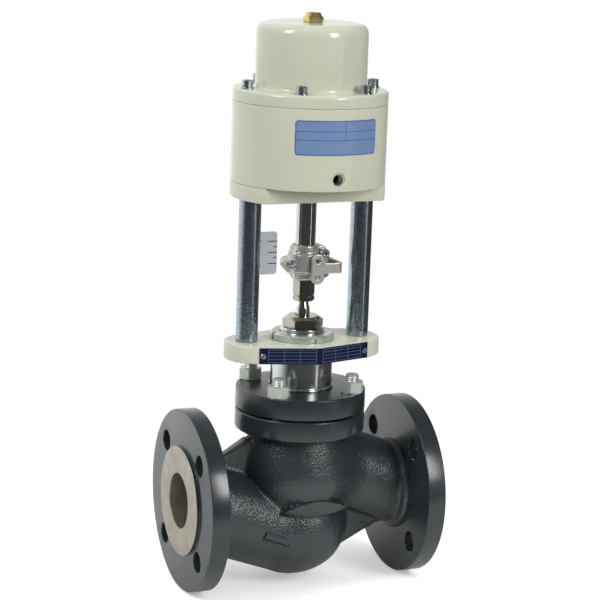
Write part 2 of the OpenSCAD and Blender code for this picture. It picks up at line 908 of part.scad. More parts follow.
module scale_marks() {
    right = -pillar_x + scale_reach;
    color("#17181a") at_stem() for (i = [0 : marks - 1])
        let (w = i % 2 == 0 ? mark_long : mark_short)
            translate([right - w, scale_y - mark_t,
                    scale_z + mark_first + i * scale_pitch - mark_w / 2])
                cube([w, mark_t, mark_w]);
}

module scale_screws() {
    color("#9ea4a6") at_stem() translate([-pillar_x, 0, 0])
        for (rise = [scale_screw_rise, scale_h - scale_screw_rise])
            translate([pillar_r - scale_screw_out, scale_head_y, scale_z + rise])
                rotate([-90, 0, 0]) {
                    translate([0, 0, scale_y - scale_head_y])
                        cylinder(r = scale_screw_r, h = scale_head_y - scale_y + over);
                    bar(scale_screw_head_r, 0, scale_screw_head_h, edge / 2);
                }
}

module lock_nut() {
    color("#8f8d86") at_stem() difference() {
        hex_block(lock_af, lock_z, lock_h, edge, edge / 2);
        translate([0, 0, lock_z - over])
            cylinder(r = stem_end_r + run_gap, h = lock_h + 2 * over);
    }
}

module hex_adapter() {
    neck_r = rod_r - clamp_neck_in;
    head_z = clamp_z + clamp_neck_h;
    color("#8f8d86") at_stem() difference() {
        union() {
            hex_block(adapter_af, adapter_z, adapter_h, edge, edge);
            translate([0, 0, clamp_z - over]) cylinder(r = neck_r, h = clamp_neck_h + 2 * over);
            bar(rod_r, head_z, clamp_head_h, edge / 2);
        }
        translate([0, 0, adapter_z - over])
            cylinder(r = stem_end_r + run_gap, h = adapter_h + over);
    }
}

// Outline of the clamp's ears in x and z, with the corners cut
module ear_outline() {
    w = clamp_w / 2;
    polygon([
        [-w, ear_cut], [ear_cut - w, 0], [w - ear_cut, 0], [w, ear_cut],
        [w, clamp_h - ear_cut], [w - ear_cut, clamp_h], [ear_cut - w, clamp_h],
        [-w, clamp_h - ear_cut]
    ]);
}

// Whole clamp before it is split: collars, barrel and ears round its bore
module clamp_block() {
    neck = rod_r - clamp_neck_in + run_gap;
    head = rod_r + run_gap;
    mid_z = clamp_z + clamp_h / 2;
    difference() {
        union() {
            bar(collar_r, clamp_z, clamp_h, edge);
            bar(barrel_r, clamp_z + barrel_low, barrel_h, edge);
            translate([0, 0, clamp_z]) upright(-ear_t / 2, ear_t) ear_outline();
        }
        rotate_extrude() polygon([
            [0, clamp_z - over], [neck, clamp_z - over],
            [neck, clamp_z + clamp_neck_h], [head, clamp_z + clamp_neck_h],
            [head, clamp_z + clamp_neck_h + 2 * clamp_head_h],
            [neck, clamp_z + clamp_neck_h + 2 * clamp_head_h],
            [neck, clamp_z + 2 * clamp_neck_h + 2 * clamp_head_h],
            [head, clamp_z + 2 * clamp_neck_h + 2 * clamp_head_h],
            [head, clamp_top + over], [0, clamp_top + over]
        ]);
        for (rise = [-clamp_screw_rise, clamp_screw_rise]) {
            cross_bar(clamp_screw_x, -barrel_r - over, mid_z + rise,
                clamp_screw_head_r + pocket_gap, barrel_r + over - ear_t / 2);
            cross_bar(clamp_screw_x, -barrel_r, mid_z + rise,
                clamp_screw_r + run_gap, barrel_r + ear_t / 2 - ear_floor);
        }
        cross_bar(-pointer_screw_x, -barrel_r, pointer_z,
            pointer_screw_r + run_gap, barrel_r + ear_t / 2 - ear_floor);
    }
}

module coupling_front() {
    color("#a5a29a") at_stem() difference() {
        clamp_block();
        translate([-clamp_w, -split / 2, clamp_z - over])
            cube([2 * clamp_w, clamp_w, clamp_h + 2 * over]);
    }
}

module coupling_rear() {
    color("#a5a29a") at_stem() difference() {
        clamp_block();
        translate([-clamp_w, split / 2 - clamp_w, clamp_z - over])
            cube([2 * clamp_w, clamp_w, clamp_h + 2 * over]);
        cross_bar(bracket_screw_x, split, clamp_z + clamp_h / 2,
            bracket_screw_r + run_gap, ear_t);
    }
}

module coupling_screws() {
    l = ear_t - ear_floor - edge;
    color("#b5b2aa") at_stem() for (rise = [-clamp_screw_rise, clamp_screw_rise])
        translate([clamp_screw_x, -ear_t / 2, clamp_z + clamp_h / 2 + rise])
            rotate([90, 0, 0])
                socket_screw(0, clamp_screw_r, l, clamp_screw_head_r, clamp_screw_head_h,
                    clamp_screw_key, clamp_screw_key_h);
}

// Pointer screwed to the left ear, its tip on the lowest mark while closed
module pointer() {
    w = clamp_w / 2;
    color("#aeaba3") at_stem() difference() {
        translate([0, 0, pointer_z]) upright(-ear_t / 2 - pointer_t, pointer_t) polygon([
            [-w - pointer_reach, 0], [-w, pointer_half],
            [pointer_in - w, pointer_half - pointer_in],
            [pointer_in - w, pointer_in - pointer_half], [-w, -pointer_half]
        ]);
        cross_bar(-pointer_screw_x, -ear_t, pointer_z, pointer_screw_r + run_gap, ear_t);
    }
}

module pointer_screw() {
    l = pointer_t + ear_t - ear_floor - edge;
    color("#b5b2aa") at_stem()
        translate([-pointer_screw_x, -ear_t / 2 - pointer_t, pointer_z])
            rotate([90, 0, 0])
                socket_screw(0, pointer_screw_r, l, pointer_screw_head_r,
                    pointer_screw_head_h, pointer_screw_r * 2, pointer_screw_head_h / 2);
}

// Sheet bracket: a slotted front plate, an arm to the side, a turn back to the
// rear ear
module feedback_bracket() {
    plate_r = bracket_plate_w / 2;
    arm_z = clamp_z + bracket_arm_low;
    back_y = ear_t / 2;
    color("#a5a29a") at_stem() difference() {
        union() {
            upright(bracket_y, bracket_t) {
                for (side = [-1, 1])
                    translate([bracket_x, bracket_mid + side * bracket_hole_gap / 2])
                        circle(r = plate_r);
                translate([bracket_x - plate_r, bracket_mid - bracket_hole_gap / 2])
                    square([bracket_plate_w, bracket_hole_gap]);
                translate([bracket_x, arm_z])
                    square([bracket_reach - bracket_x, bracket_arm_h]);
            }
            translate([bracket_reach - bracket_t, bracket_y, arm_z])
                cube([bracket_t, back_y + bracket_t - bracket_y, bracket_arm_h]);
            translate([bracket_foot_x, back_y, arm_z])
                cube([bracket_reach - bracket_foot_x, bracket_t, bracket_arm_h]);
        }
        for (side = [-1, 1])
            cross_bar(bracket_x, bracket_y - over, bracket_mid + side * bracket_hole_gap / 2,
                bracket_hole_r, bracket_t + 2 * over);
        cross_bar(bracket_screw_x, back_y - over, clamp_z + clamp_h / 2,
            bracket_screw_r + run_gap, bracket_t + 2 * over);
    }
}

module bracket_screw() {
    l = bracket_t + ear_t / 2 - split;
    color("#b5b2aa") at_stem()
        translate([bracket_screw_x, ear_t / 2 + bracket_t, clamp_z + clamp_h / 2])
            rotate([-90, 0, 0])
                socket_screw(0, bracket_screw_r, l, bracket_screw_head_r,
                    bracket_screw_head_h, bracket_screw_r * 2, bracket_screw_head_h / 2);
}

// Rod with a turned neck for the coupling and a shoulder under the piston
module actuator_rod() {
    foot = clamp_z + clamp_neck_h + clamp_head_h;
    neck_r = rod_r - clamp_neck_in;
    thread_r = rod_r - piston_thread_in;
    top = piston_z + piston_h + piston_nut_h + rod_top;
    color("#b9bcbe") at_stem() rotate_extrude() polygon([
        [0, foot], [rod_r - edge, foot], [rod_r, foot + edge],
        [rod_r, foot + clamp_head_h], [neck_r, foot + clamp_head_h],
        [neck_r, foot + clamp_head_h + clamp_neck_h],
        [rod_r, foot + clamp_head_h + clamp_neck_h],
        [rod_r, piston_z], [thread_r, piston_z], [thread_r, top - edge],
        [thread_r - edge, top], [0, top]
    ]);
}

// Places of the screws that hold the cover, in two pairs beside the pillars
module at_cover_screws() {
    for (side = [-1, 1]) around(2, screw_circle, side * cover_screw_angle) children();
}

module lower_cover() {
    seal_z = cylinder_z + cover_spigot_h - rod_seal_w;
    color("#c9c9ba") at_stem() difference() {
        union() {
            intersection() {
                translate([0, 0, cover_z]) cylinder(r = casing_r, h = cover_t);
                translate([-casing_r, -cover_flat, cover_z])
                    cube([2 * casing_r, 2 * cover_flat, cover_t]);
            }
            translate([0, 0, cylinder_z - edge])
                cylinder(r = bore_r - slip_gap, h = cover_spigot_h + edge);
        }
        translate([0, 0, cover_z - over])
            cylinder(r = rod_r + slip_gap, h = cover_t + cover_spigot_h + 2 * over);
        translate([0, 0, cover_z + rod_bush_in])
            cylinder(r = rod_r + rod_bush_w + run_gap, h = rod_bush_h);
        translate([0, 0, seal_z])
            cylinder(r = rod_r + rod_seal_w + run_gap, h = rod_seal_w + over);
        for (side = [-1, 1]) translate([side * pillar_x, 0, cover_z - over])
            cylinder(r = pillar_spigot_r + run_gap, h = pillar_spigot_h + edge + over);
        at_cover_screws() {
            translate([0, 0, cover_z - over])
                cylinder(r = cover_screw_r + slip_gap, h = cover_t + 2 * over);
            translate([0, 0, cover_z - over])
                cylinder(r = cover_screw_head_r + slip_gap, h = cover_screw_head_h + over);
        }
    }
}

module rod_bush() {
    color("#b08a4a") at_stem()
        tube(rod_r + rod_bush_w, rod_r + run_gap, cover_z + rod_bush_in, rod_bush_h);
}

module rod_seal() {
    color("#1d1e20") at_stem()
        tube(rod_r + rod_seal_w, rod_r + run_gap, cylinder_z + cover_spigot_h - rod_seal_w,
            rod_seal_w);
}

module cover_screws() {
    color("#8b8c8a") at_stem() at_cover_screws()
        translate([0, 0, cover_z + cover_screw_head_h]) mirror([0, 0, 1])
            socket_screw(0, cover_screw_r, cover_t - cover_screw_head_h + cover_screw_in,
                cover_screw_head_r, cover_screw_head_h - edge / 2, cover_screw_head_r,
                cover_screw_head_h / 2);
}

// The actuator's cylinder, with its tapped air port facing the front
module actuator_cylinder() {
    color("#c9c9ba") at_stem() difference() {
        translate([0, 0, cylinder_z]) cylinder(r = casing_r, h = cylinder_h);
        translate([0, 0, cylinder_z - over])
            cylinder(r = bore_r, h = cylinder_h + 2 * over);
        cross_bar(0, -casing_r - over, cylinder_z + port_rise, air_port_d / 2, casing_r);
        at_cover_screws() translate([0, 0, cylinder_z - over])
            cylinder(r = cover_screw_r + run_gap, h = cover_screw_in + edge + over);
        around(housing_screws_count, screw_circle, 0)
            translate([0, 0, housing_z - housing_screw_in - edge])
                cylinder(r = housing_screw_r + run_gap, h = housing_screw_in + edge + over);
    }
}

module casing_label() {
    turn = label_w / casing_r * 180 / PI;
    color("#5b7fae") at_stem() translate([0, 0, cylinder_z + label_low])
        rotate([0, 0, -90 - turn / 2]) rotate_extrude(angle = turn)
            translate([casing_r + label_gap, 0]) square([label_t, label_h]);
}

// Piston with a hub for its nut and a skirt that meets the housing when fully open
module piston() {
    r = bore_r - run_gap;
    seal_r = r - piston_seal_in;
    guide_r = r - piston_guide_in;
    thread_r = rod_r - piston_thread_in + run_gap;
    skirt_r = r - piston_skirt;
    color("#b4b7ba") at_stem() translate([0, 0, piston_z]) rotate_extrude() polygon([
        [thread_r, 0], [r, 0], [r, piston_seal_z], [seal_r, piston_seal_z],
        [seal_r, piston_seal_z + piston_seal_h], [r, piston_seal_z + piston_seal_h],
        [r, piston_guide_z], [guide_r, piston_guide_z],
        [guide_r, piston_guide_z + piston_guide_h],
        [r, piston_guide_z + piston_guide_h], [r, skirt_top - piston_z],
        [skirt_r, skirt_top - piston_z], [skirt_r, piston_web], [piston_hub_r, piston_web], [piston_hub_r, piston_h],
        [thread_r, piston_h]
    ]);
}

module piston_seal() {
    r = bore_r - run_gap;
    color("#1d1e20") at_stem()
        tube(r, r - piston_seal_in, piston_z + piston_seal_z, piston_seal_h);
}

module piston_guide() {
    r = bore_r - run_gap;
    color("#d9d8d0") at_stem()
        tube(r, r - piston_guide_in, piston_z + piston_guide_z, piston_guide_h);
}

module piston_nut() {
    color("#8b8c8a") at_stem() difference() {
        hex_block(piston_nut_af, piston_z + piston_h, piston_nut_h, edge, edge);
        translate([0, 0, piston_z + piston_h - over])
            cylinder(r = rod_r - piston_thread_in + run_gap, h = piston_nut_h + 2 * over);
    }
}

// Main spring, wound between the piston's web and its seat in the dome
module main_spring() {
    wire_r = spring_wire / 2;
    low = piston_z + piston_web + wire_r;
    high = dome_top - dome_wall - spring_seat_t - wire_r;
    steps = spring_turns * spring_steps;
    rings = [for (i = [0 : steps]) let (turn = i * 360 / spring_steps)
        for (j = [0 : wire_sides - 1])
            let (a = j * 360 / wire_sides, r = spring_r + wire_r * cos(a))
            [r * cos(turn), r * sin(turn), low + (high - low) * i / steps + wire_r * sin(a)]];
    sides = [for (i = [0 : steps - 1]) for (j = [0 : wire_sides - 1])
        let (k = (j + 1) % wire_sides, a = i * wire_sides, b = a + wire_sides)
        each [[a + j, a + k, b + k], [a + j, b + k, b + j]]];
    first = [for (j = [1 : wire_sides - 2]) [0, j + 1, j]];
    last = [for (j = [1 : wire_sides - 2])
        let (b = steps * wire_sides) [b, b + j, b + j + 1]];
    color("#6f7376") at_stem() polyhedron(points = rings, faces = concat(sides, first, last));
}

module spring_seat() {
    color("#8b8c8a") at_stem()
        tube(spring_r + spring_seat_w, spring_r - spring_seat_w,
            dome_top - dome_wall - spring_seat_t, spring_seat_t);
}

// Spring housing: a flange and a domed can turned in one piece
module spring_housing() {
    inner_r = dome_r - dome_wall;
    inner_top = dome_top - dome_wall;
    color("#c9c9ba") at_stem() difference() {
        union() {
            rotate_extrude() {
                translate([0, housing_z]) square([casing_r, housing_flange_t]);
                translate([0, housing_z - housing_spigot_h])
                    square([bore_r - slip_gap, housing_spigot_h + over]);
                translate([0, dome_z - over])
                    square([dome_r, dome_h - dome_round + over]);
                translate([0, dome_z]) square([dome_r - dome_round, dome_h]);
                translate([dome_r - dome_round, dome_top - dome_round])
                    circle(r = dome_round);
            }
            rotate_extrude() difference() {
                translate([dome_r - over, dome_z - over])
                    square([dome_fillet + over, dome_fillet + over]);
                translate([dome_r + dome_fillet, dome_z + dome_fillet])
                    circle(r = dome_fillet);
            }
        }
        translate([0, 0, housing_z - housing_spigot_h - over])
            cylinder(r = inner_r, h = inner_top - housing_z + housing_spigot_h + over);
        translate([0, 0, inner_top - over])
            cylinder(r = vent_r + run_gap, h = dome_wall + 2 * over);
        around(housing_screws_count, screw_circle, 0)
            translate([0, 0, housing_z - over])
                cylinder(r = housing_screw_r + slip_gap, h = housing_flange_t + 2 * over);
    }
}

module housing_washers() {
    color("#b9bab4") at_stem() around(housing_screws_count, screw_circle, 0)
        tube(housing_washer_r, housing_screw_r + slip_gap, dome_z, housing_washer_t);
}

module housing_screws() {
    l = housing_washer_t + housing_flange_t + housing_screw_in;
    color("#b9bab4") at_stem() around(housing_screws_count, screw_circle, 0)
        socket_screw(dome_z + housing_washer_t, housing_screw_r, l, housing_screw_head_r,
            housing_screw_head_h, housing_screw_key, housing_screw_key_h);
}

module vent_plug() {
    color("#a88a3c") at_stem() difference() {
        union() {
            hex_block(vent_af, dome_top, vent_h, edge / 2, vent_bevel);
            translate([0, 0, dome_top - vent_in]) cylinder(r = vent_r, h = vent_in + over);
        }
        translate([0, 0, dome_top - vent_in - over])
            cylinder(r = vent_hole_r, h = vent_in + vent_h + 2 * over);
    }
}

valve_body();
seat_ring();
plug();
plug_seal();
plug_washer();
plug_nut();
valve_stem();
bonnet();
bonnet_gasket();
bonnet_studs();
bonnet_nuts();
stem_guide();
bonnet_neck();
packing_washer();
packing_rings();
gland_bush();
gland_nut();
ring_nut();
yoke_plate();
name_plate();
name_plate_screws();
pillar_left();
pillar_right();
pillar_screws();
scale_plate();
scale_marks();
scale_screws();
lock_nut();
hex_adapter();
coupling_front();
coupling_rear();
coupling_screws();
pointer();
pointer_screw();
feedback_bracket();
bracket_screw();
actuator_rod();
lower_cover();
rod_bush();
rod_seal();
cover_screws();
actuator_cylinder();
casing_label();
piston();
piston_seal();
piston_guide();
piston_nut();
main_spring();
spring_seat();
spring_housing();
housing_washers();
housing_screws();
vent_plug();
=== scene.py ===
"""Looks of a pneumatic on-off valve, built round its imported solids.

Lengths are millimetres about the stem, whose foot is where the pipe axis crosses it, until a
piece is put into the scene, which is in metres.
"""
import functools
import json
import math

import bmesh
import bpy
import numpy as np
from mathutils import Matrix, Vector


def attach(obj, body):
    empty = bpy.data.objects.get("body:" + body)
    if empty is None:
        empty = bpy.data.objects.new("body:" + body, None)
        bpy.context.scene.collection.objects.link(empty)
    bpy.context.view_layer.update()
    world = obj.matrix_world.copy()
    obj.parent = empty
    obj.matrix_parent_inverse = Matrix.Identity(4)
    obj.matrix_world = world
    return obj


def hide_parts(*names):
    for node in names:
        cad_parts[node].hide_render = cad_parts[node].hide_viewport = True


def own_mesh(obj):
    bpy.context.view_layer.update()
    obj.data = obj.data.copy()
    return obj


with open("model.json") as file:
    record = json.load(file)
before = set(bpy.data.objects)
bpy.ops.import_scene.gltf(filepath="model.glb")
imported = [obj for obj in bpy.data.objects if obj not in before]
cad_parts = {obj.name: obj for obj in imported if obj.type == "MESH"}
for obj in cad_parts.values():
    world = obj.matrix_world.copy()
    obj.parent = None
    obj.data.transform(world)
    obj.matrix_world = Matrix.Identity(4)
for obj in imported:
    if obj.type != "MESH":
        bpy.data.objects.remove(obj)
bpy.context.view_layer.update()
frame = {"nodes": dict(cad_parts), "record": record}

bl_info = {
    "name": "Pneumatic on-off valve",
    "version": (1, 0, 0),
    "blender": (4, 5, 0),
    "location": "View3D > Sidebar > Valve",
    "description": "Builds the visible pieces of a flanged valve with a spring return actuator",
    "category": "Object",
}

MM = 0.001
STEM_X = 115.0
FLOOR_Z = -82.5
FRAME_BODY = "valve_frame"
TRAIN_BODY = "stem_train"

# Heights up the stem, as in the solids
JOINT_Z = 79.5
BONNET_Z = 81.0
BONNET_TOP = 99.7
YOKE_Z = 128.5
YOKE_TOP = 144.0
RING_TOP = 150.5
NECK_TOP = 154.6
GLAND_TOP = 165.2
TAPER_Z = 171.2
LOCK_Z = 178.7
ADAPTER_Z = 183.7
CLAMP_Z = 198.7
CLAMP_H = 31.0
COVER_Z = 273.9
CYLINDER_Z = 287.6
HOUSING_Z = 359.0
DOME_TOP = 428.0
HOUSING_TOP = 370.3

# Radii, places and angles that several pieces share
CASING_R = 69.1
FLANGE_R = 82.5
RAISED_R = 49.5
BORE_R = 25.0
BOLT_PLACE_R = 62.5
JOINT_R = 59.0
STUD_PLACE_R = 50.0
STEM_R = 6.0
ROD_R = 9.0
PILLAR_R = 10.0
PILLAR_X = 54.0
CAP_SCREW_PLACE_R = 60.0
LABEL_Z = 334.5
PORT_Z = 298.0
PLATE_T = 0.8
LABEL_W = 79.0
LABEL_H = 30.0
SPRING_R = 36.0
WIRE_R = 3.0
SPRING_LOW = 317.6
SPRING_HIGH = 416.5
FLOOR_R = 600.0
HEX_TURN = -15.0
NUT_SLOPE = 0.58
THREAD_SIDES = 40


# ---- arrays and meshes ----

def rounded(corners, radii, steps=4):
    """Closed outline with its corners rounded. Each corner becomes a curve of second degree
    between the points that lie the corner's radius from it on its two sides."""
    corners = np.array(corners, float)
    reach = np.broadcast_to(np.array(radii, float), len(corners))[:, None]
    to_last = np.roll(corners, 1, 0) - corners
    to_next = np.roll(corners, -1, 0) - corners
    first = corners + to_last / np.linalg.norm(to_last, axis=1, keepdims=True) * reach
    last = corners + to_next / np.linalg.norm(to_next, axis=1, keepdims=True) * reach
    s = np.linspace(0, 1, steps + 1)[None, :, None]
    curve = ((1 - s) ** 2 * first[:, None] + 2 * s * (1 - s) * corners[:, None]
             + s ** 2 * last[:, None])
    keep = np.ones((len(corners), steps + 1), bool)
    keep[:, 1:] = reach > 0
    return curve[keep]


def quads(rows, columns, wrap_rows=False, wrap_columns=True):
    """Faces of a grid of points, counted row by row; a wrapped side joins its last to its first."""
    i = np.arange(rows if wrap_rows else rows - 1)[:, None]
    j = np.arange(columns if wrap_columns else columns - 1)[None, :]
    a, b = i * columns, (i + 1) % rows * columns
    c, d = j, (j + 1) % columns
    return np.stack([a + c, a + d, b + d, b + c], -1).reshape(-1, 4)


def turned(profile, steps=96, wrap=True):
    """Surface of revolution: row i, column j is the profile's point i, at radius r and height z,
    turned by 2 pi j / steps round the z axis. A radius may be one number or one per column."""
    angle = np.arange(steps) * 2 * math.pi / steps
    r = np.stack([np.broadcast_to(p[0], steps) for p in profile])
    z = np.stack([np.broadcast_to(p[1], steps) for p in profile])
    points = np.stack([r * np.cos(angle), r * np.sin(angle), z], -1).reshape(-1, 3)
    return points, [quads(len(profile), steps, wrap)]


def hexagon(across, steps, corner=0.0):
    """Radius of a hexagon's outline at each of the steps round it: half its width across flats
    over the cosine of the angle to the nearest flat's middle. One corner lies at the given angle
    in degrees."""
    angle = np.arange(steps) * 2 * math.pi / steps - math.radians(corner)
    return across / 2 / np.cos(angle % (math.pi / 3) - math.pi / 6)


def nut(across, low, high, bore, corner=0.0):
    """Hexagonal block on a bore: its outline is a hexagon, and its corners are turned off at 30
    degrees where the outline passes the inner circle."""
    outline = hexagon(across, 96, corner)
    inner = across / 2 * 0.97
    fall = (outline - inner) * NUT_SLOPE
    rows = [(bore, low), (inner, low), (outline, low + fall),
            (outline, high - fall), (inner, high), (bore, high)]
    return turned(rows)


def threaded(radius, pitch, low, high, depth=0.35):
    """Threaded rod: the radius falls and rises as a triangle wave of the height, shifted by one
    pitch a turn, with a chamfer at the top."""
    rows = np.linspace(low, high, int((high - low) / pitch * 8) + 2)
    angle = np.arange(THREAD_SIDES) / THREAD_SIDES
    wave = np.abs(((rows[:, None] / pitch - angle) % 1) * 2 - 1)
    r = radius - depth * pitch * wave
    r = np.minimum(r, radius - 1 + (high - rows[:, None]))
    profile = [(0, low)] + [(r[i], rows[i]) for i in range(len(rows))] + [(0, high)]
    return turned(profile, THREAD_SIDES, False)


def screw(head_r, head_h, shank_r, length, key, key_h, steps=48, knurl=0.0):
    """Socket head screw that stands up from z = 0: a turned shank and head with a hexagonal
    socket. The head's radius carries a fine wave round it where it is knurled."""
    angle = np.arange(steps) * 2 * math.pi / steps
    side = head_r - knurl * (0.5 + 0.5 * np.cos(angle * steps / 2))
    socket = hexagon(key, steps)
    edge = 0.12 * head_r
    rows = [(0, -length), (shank_r - 0.4, -length), (shank_r, 0.4 - length), (shank_r, 0),
            (head_r - edge, 0), (side, edge), (side, head_h - edge), (head_r - edge, head_h),
            (socket + 0.25, head_h), (socket, head_h - 0.25), (socket, head_h - key_h),
            (0, head_h - key_h)]
    return turned(rows, steps, False)


def plate(outline, low, high, edge=0.5, steps=3):
    """Flat plate: its outline is carried up from low to high and drawn in along a quarter circle
    of radius edge at both ends, and two flat faces close it."""
    outline = np.array(outline, float)
    along = np.roll(outline, -1, 0) - outline
    along /= np.linalg.norm(along, axis=1, keepdims=True)
    side = np.stack([along[:, 1], -along[:, 0]], -1)
    out = side + np.roll(side, 1, 0)
    out /= (1 + (side * np.roll(side, 1, 0)).sum(1))[:, None]
    turn = np.linspace(0, math.pi / 2, steps + 1)
    inset = np.concatenate([edge * (1 - np.sin(turn)), edge * (1 - np.cos(turn))])
    z = np.concatenate([low + edge * (1 - np.cos(turn)), high - edge * (1 - np.sin(turn))])
    flat = outline[None] - out[None] * inset[:, None, None]
    up = np.broadcast_to(z[:, None, None], flat.shape[:2] + (1,))
    points = np.concatenate([flat, up], -1).reshape(-1, 3)
    n = len(outline)
    top = (len(z) - 1) * n
    return points, [quads(len(z), n), [list(range(n))[::-1]], [list(range(top, top + n))]]


def arc(centre, radius, first, last, steps):
    """Points of a circle's arc between two angles in degrees."""
    a = np.radians(np.linspace(first, last, steps))
    return np.stack([centre[0] + radius * np.cos(a), centre[1] + radius * np.sin(a)], -1)


def smooth_max(a, b, k):
    """The larger of two distances, with the crease between them rounded over the width k."""
    h = np.clip(0.5 + 0.5 * (a - b) / k, 0, 1)
    return b + (a - b) * h + k * h * (1 - h)


def smooth_min(a, b, k):
    """The smaller of two distances, with a fillet of the width k between them."""
    return -smooth_max(-a, -b, k)


def most(*parts):
    """The largest of several distances: the shape that all of them share."""
    return functools.reduce(np.maximum, parts)


def least(*parts):
    """The smallest of several distances: the shape that they make up together."""
    return functools.reduce(np.minimum, parts)


def rod_distance(p, start, end, r1, r2):
    """Distance to a round ended bar between two points: the distance to the nearest point of its
    axis, less a radius that goes from r1 to r2 along it."""
    start, end = np.array(start, float), np.array(end, float)
    run = end - start
    t = np.clip(((p - start) @ run) / (run @ run), 0, 1)
    return np.linalg.norm(p - start - t[..., None] * run, axis=-1) - (r1 + (r2 - r1) * t)


def skin(field, low, high, step):
    """Closed surface where a field is zero, negative inside. Each cell of a grid that the surface
    crosses gets one point, the mean of the crossings on its edges, which two steps along the
    field's slope then bring onto the surface, and each grid edge that crosses it gets one face."""
    axes = [np.arange(a, b + step, step) for a, b in zip(low, high)]
    value = field(np.stack(np.meshgrid(*axes, indexing="ij"), -1))
    cells = np.array(value.shape) - 1
    total = np.zeros((*cells, 3))
    count = np.zeros(cells)
    crossings = []
    for d in range(3):
        u, v = (d + 1) % 3, (d + 2) % 3
        first = np.moveaxis(value, (d, u, v), (0, 1, 2))
        a, b = first[:-1], first[1:]
        crossed = (a < 0) != (b < 0)
        t = np.where(crossed, a / np.where(a == b, 1, a - b), 0)
        place = np.stack(np.meshgrid(*[np.arange(n) for n in a.shape], indexing="ij"), -1) * 1.0
        place[..., 0] += t
        for i in (0, 1):
            for j in (0, 1):
                part = np.s_[:, i:i + cells[u], j:j + cells[v]]
                sums = np.zeros((cells[d], cells[u], cells[v], 3))
                sums[..., [d, u, v]] = place[part] * crossed[part][..., None]
                back = np.argsort([d, u, v])
                total += np.transpose(sums, (*back, 3))
                count += np.transpose(crossed[part], back)
        crossings.append((d, u, v, crossed, a < 0))
    used = count > 0
    index = np.full(cells, -1)
    index[used] = np.arange(used.sum())
    points = np.array(low) + total[used] / count[used][:, None] * step
    faces = []
    for d, u, v, crossed, rises in crossings:
        inner = crossed[:, 1:-1, 1:-1]
        x, y, z = np.nonzero(inner)
        cell = np.moveaxis(index, (d, u, v), (0, 1, 2))
        ring = np.stack([cell[x, y + j, z + k] for j, k in ((0, 0), (1, 0), (1, 1), (0, 1))], -1)
        up = rises[:, 1:-1, 1:-1][x, y, z]
        faces.append(np.where(up[:, None], ring, ring[:, ::-1]))
    shift = np.eye(3) * step * 0.25
    for _ in range(3):
        slope = np.stack([field(points + s) - field(points - s) for s in shift], -1)
        slope /= step * 0.5
        size = np.maximum((slope ** 2).sum(-1), 0.25)
        move = slope * (field(points) / size)[:, None]
        points -= np.clip(move, -step * 0.5, step * 0.5)
    return points, [np.concatenate(faces)]


def upright(points):
    """Turns a plate drawn in x and y into one that stands in x and z, facing the front."""
    return points[:, [0, 2, 1]] * [1, -1, 1]


def along_x(points, side):
    """Turns a piece that was turned about z so that its z runs inwards from a port's face."""
    return np.stack([side * (STEM_X - points[:, 2]), points[:, 0] * side, points[:, 1]], -1)


def joined(*shapes):
    """Several meshes as one: their points in a row, and their faces counted on."""
    points, faces, start = [], [], 0
    for shape_points, shape_faces in shapes:
        points.append(shape_points)
        for block in shape_faces:
            faces.append([[n + start for n in f] for f in block] if isinstance(block, list)
                         else block + start)
        start += len(shape_points)
    return np.concatenate(points), faces


def moved(shape, place=(0, 0, 0), turn=None):
    """A mesh turned by a matrix and moved."""
    points, faces = shape
    return (points @ turn.T if turn is not None else points) + np.array(place, float), faces


def ring_of(shape, count, radius, first):
    """Copies of a mesh at even angles round the stem, from the first angle in degrees."""
    angles = np.radians(first + np.arange(count) * 360 / count)
    return joined(*[moved(shape, (radius * math.cos(a), radius * math.sin(a), 0)) for a in angles])


FACING = {
    "front": np.array([[1, 0, 0], [0, 0, -1], [0, 1, 0]], float),
    "rear": np.array([[1, 0, 0], [0, 0, 1], [0, -1, 0]], float),
    "down": np.array([[1, 0, 0], [0, -1, 0], [0, 0, -1]], float),
}


def mesh_object(name, shape):
    """Puts a mesh into the scene in metres, merges its doubles and points its faces outwards."""
    points, faces = shape
    points = (points + [STEM_X, 0, 0]) * MM
    mesh = bpy.data.meshes.new(name)
    loops = [f for block in faces for f in (block if isinstance(block, list) else block.tolist())]
    mesh.from_pydata(points.tolist(), [], loops)
    made = bmesh.new()
    made.from_mesh(mesh)
    bmesh.ops.remove_doubles(made, verts=made.verts, dist=1e-6)
    bmesh.ops.dissolve_degenerate(made, edges=made.edges, dist=1e-7)
    bmesh.ops.recalc_face_normals(made, faces=made.faces)
    made.to_mesh(mesh)
    made.free()
    piece = bpy.data.objects.new(name, mesh)
    bpy.context.scene.collection.objects.link(piece)
    return piece


def piece(name, shape, finish, slot, nodes=(), body=FRAME_BODY, cutters=(), sharp=32,
          extra=()):
    """One visible piece: its mesh, less its cutters, its finish, the solids that it stands for, the
    body that it rides on and any further finishes. Its slot argument is not used."""
    made = mesh_object(name, shape)
    for number, cutter in enumerate(cutters):
        tool = mesh_object(f"{name}_cut_{number}", cutter)
        cut = made.modifiers.new("cut", "BOOLEAN")
        cut.operation, cut.solver, cut.object = "DIFFERENCE", "EXACT", tool
    if cutters:
        cut = made.evaluated_get(bpy.context.evaluated_depsgraph_get())
        result = bpy.data.meshes.new_from_object(cut)
        tools = [m.object for m in made.modifiers]
        made.modifiers.clear()
        made.data = result
        for tool in tools:
            bpy.data.objects.remove(tool)
    made.data.name = name
    made.data.materials.clear()
    for material in (finish, *extra):
        made.data.materials.append(FINISHES[material])
    made.data.shade_smooth()
    made.data.set_sharp_from_angle(angle=math.radians(sharp))
    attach(made, body)
    if nodes:
        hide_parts(*nodes)
    return made


# ---- finishes ----

FINISHES = {}


def linear(colour):
    """Linear colour of an sRGB hex value."""
    part = np.array([int(colour[i:i + 2], 16) for i in (1, 3, 5)]) / 255
    return (*np.where(part <= 0.04045, part / 12.92, ((part + 0.055) / 1.055) ** 2.4), 1.0)


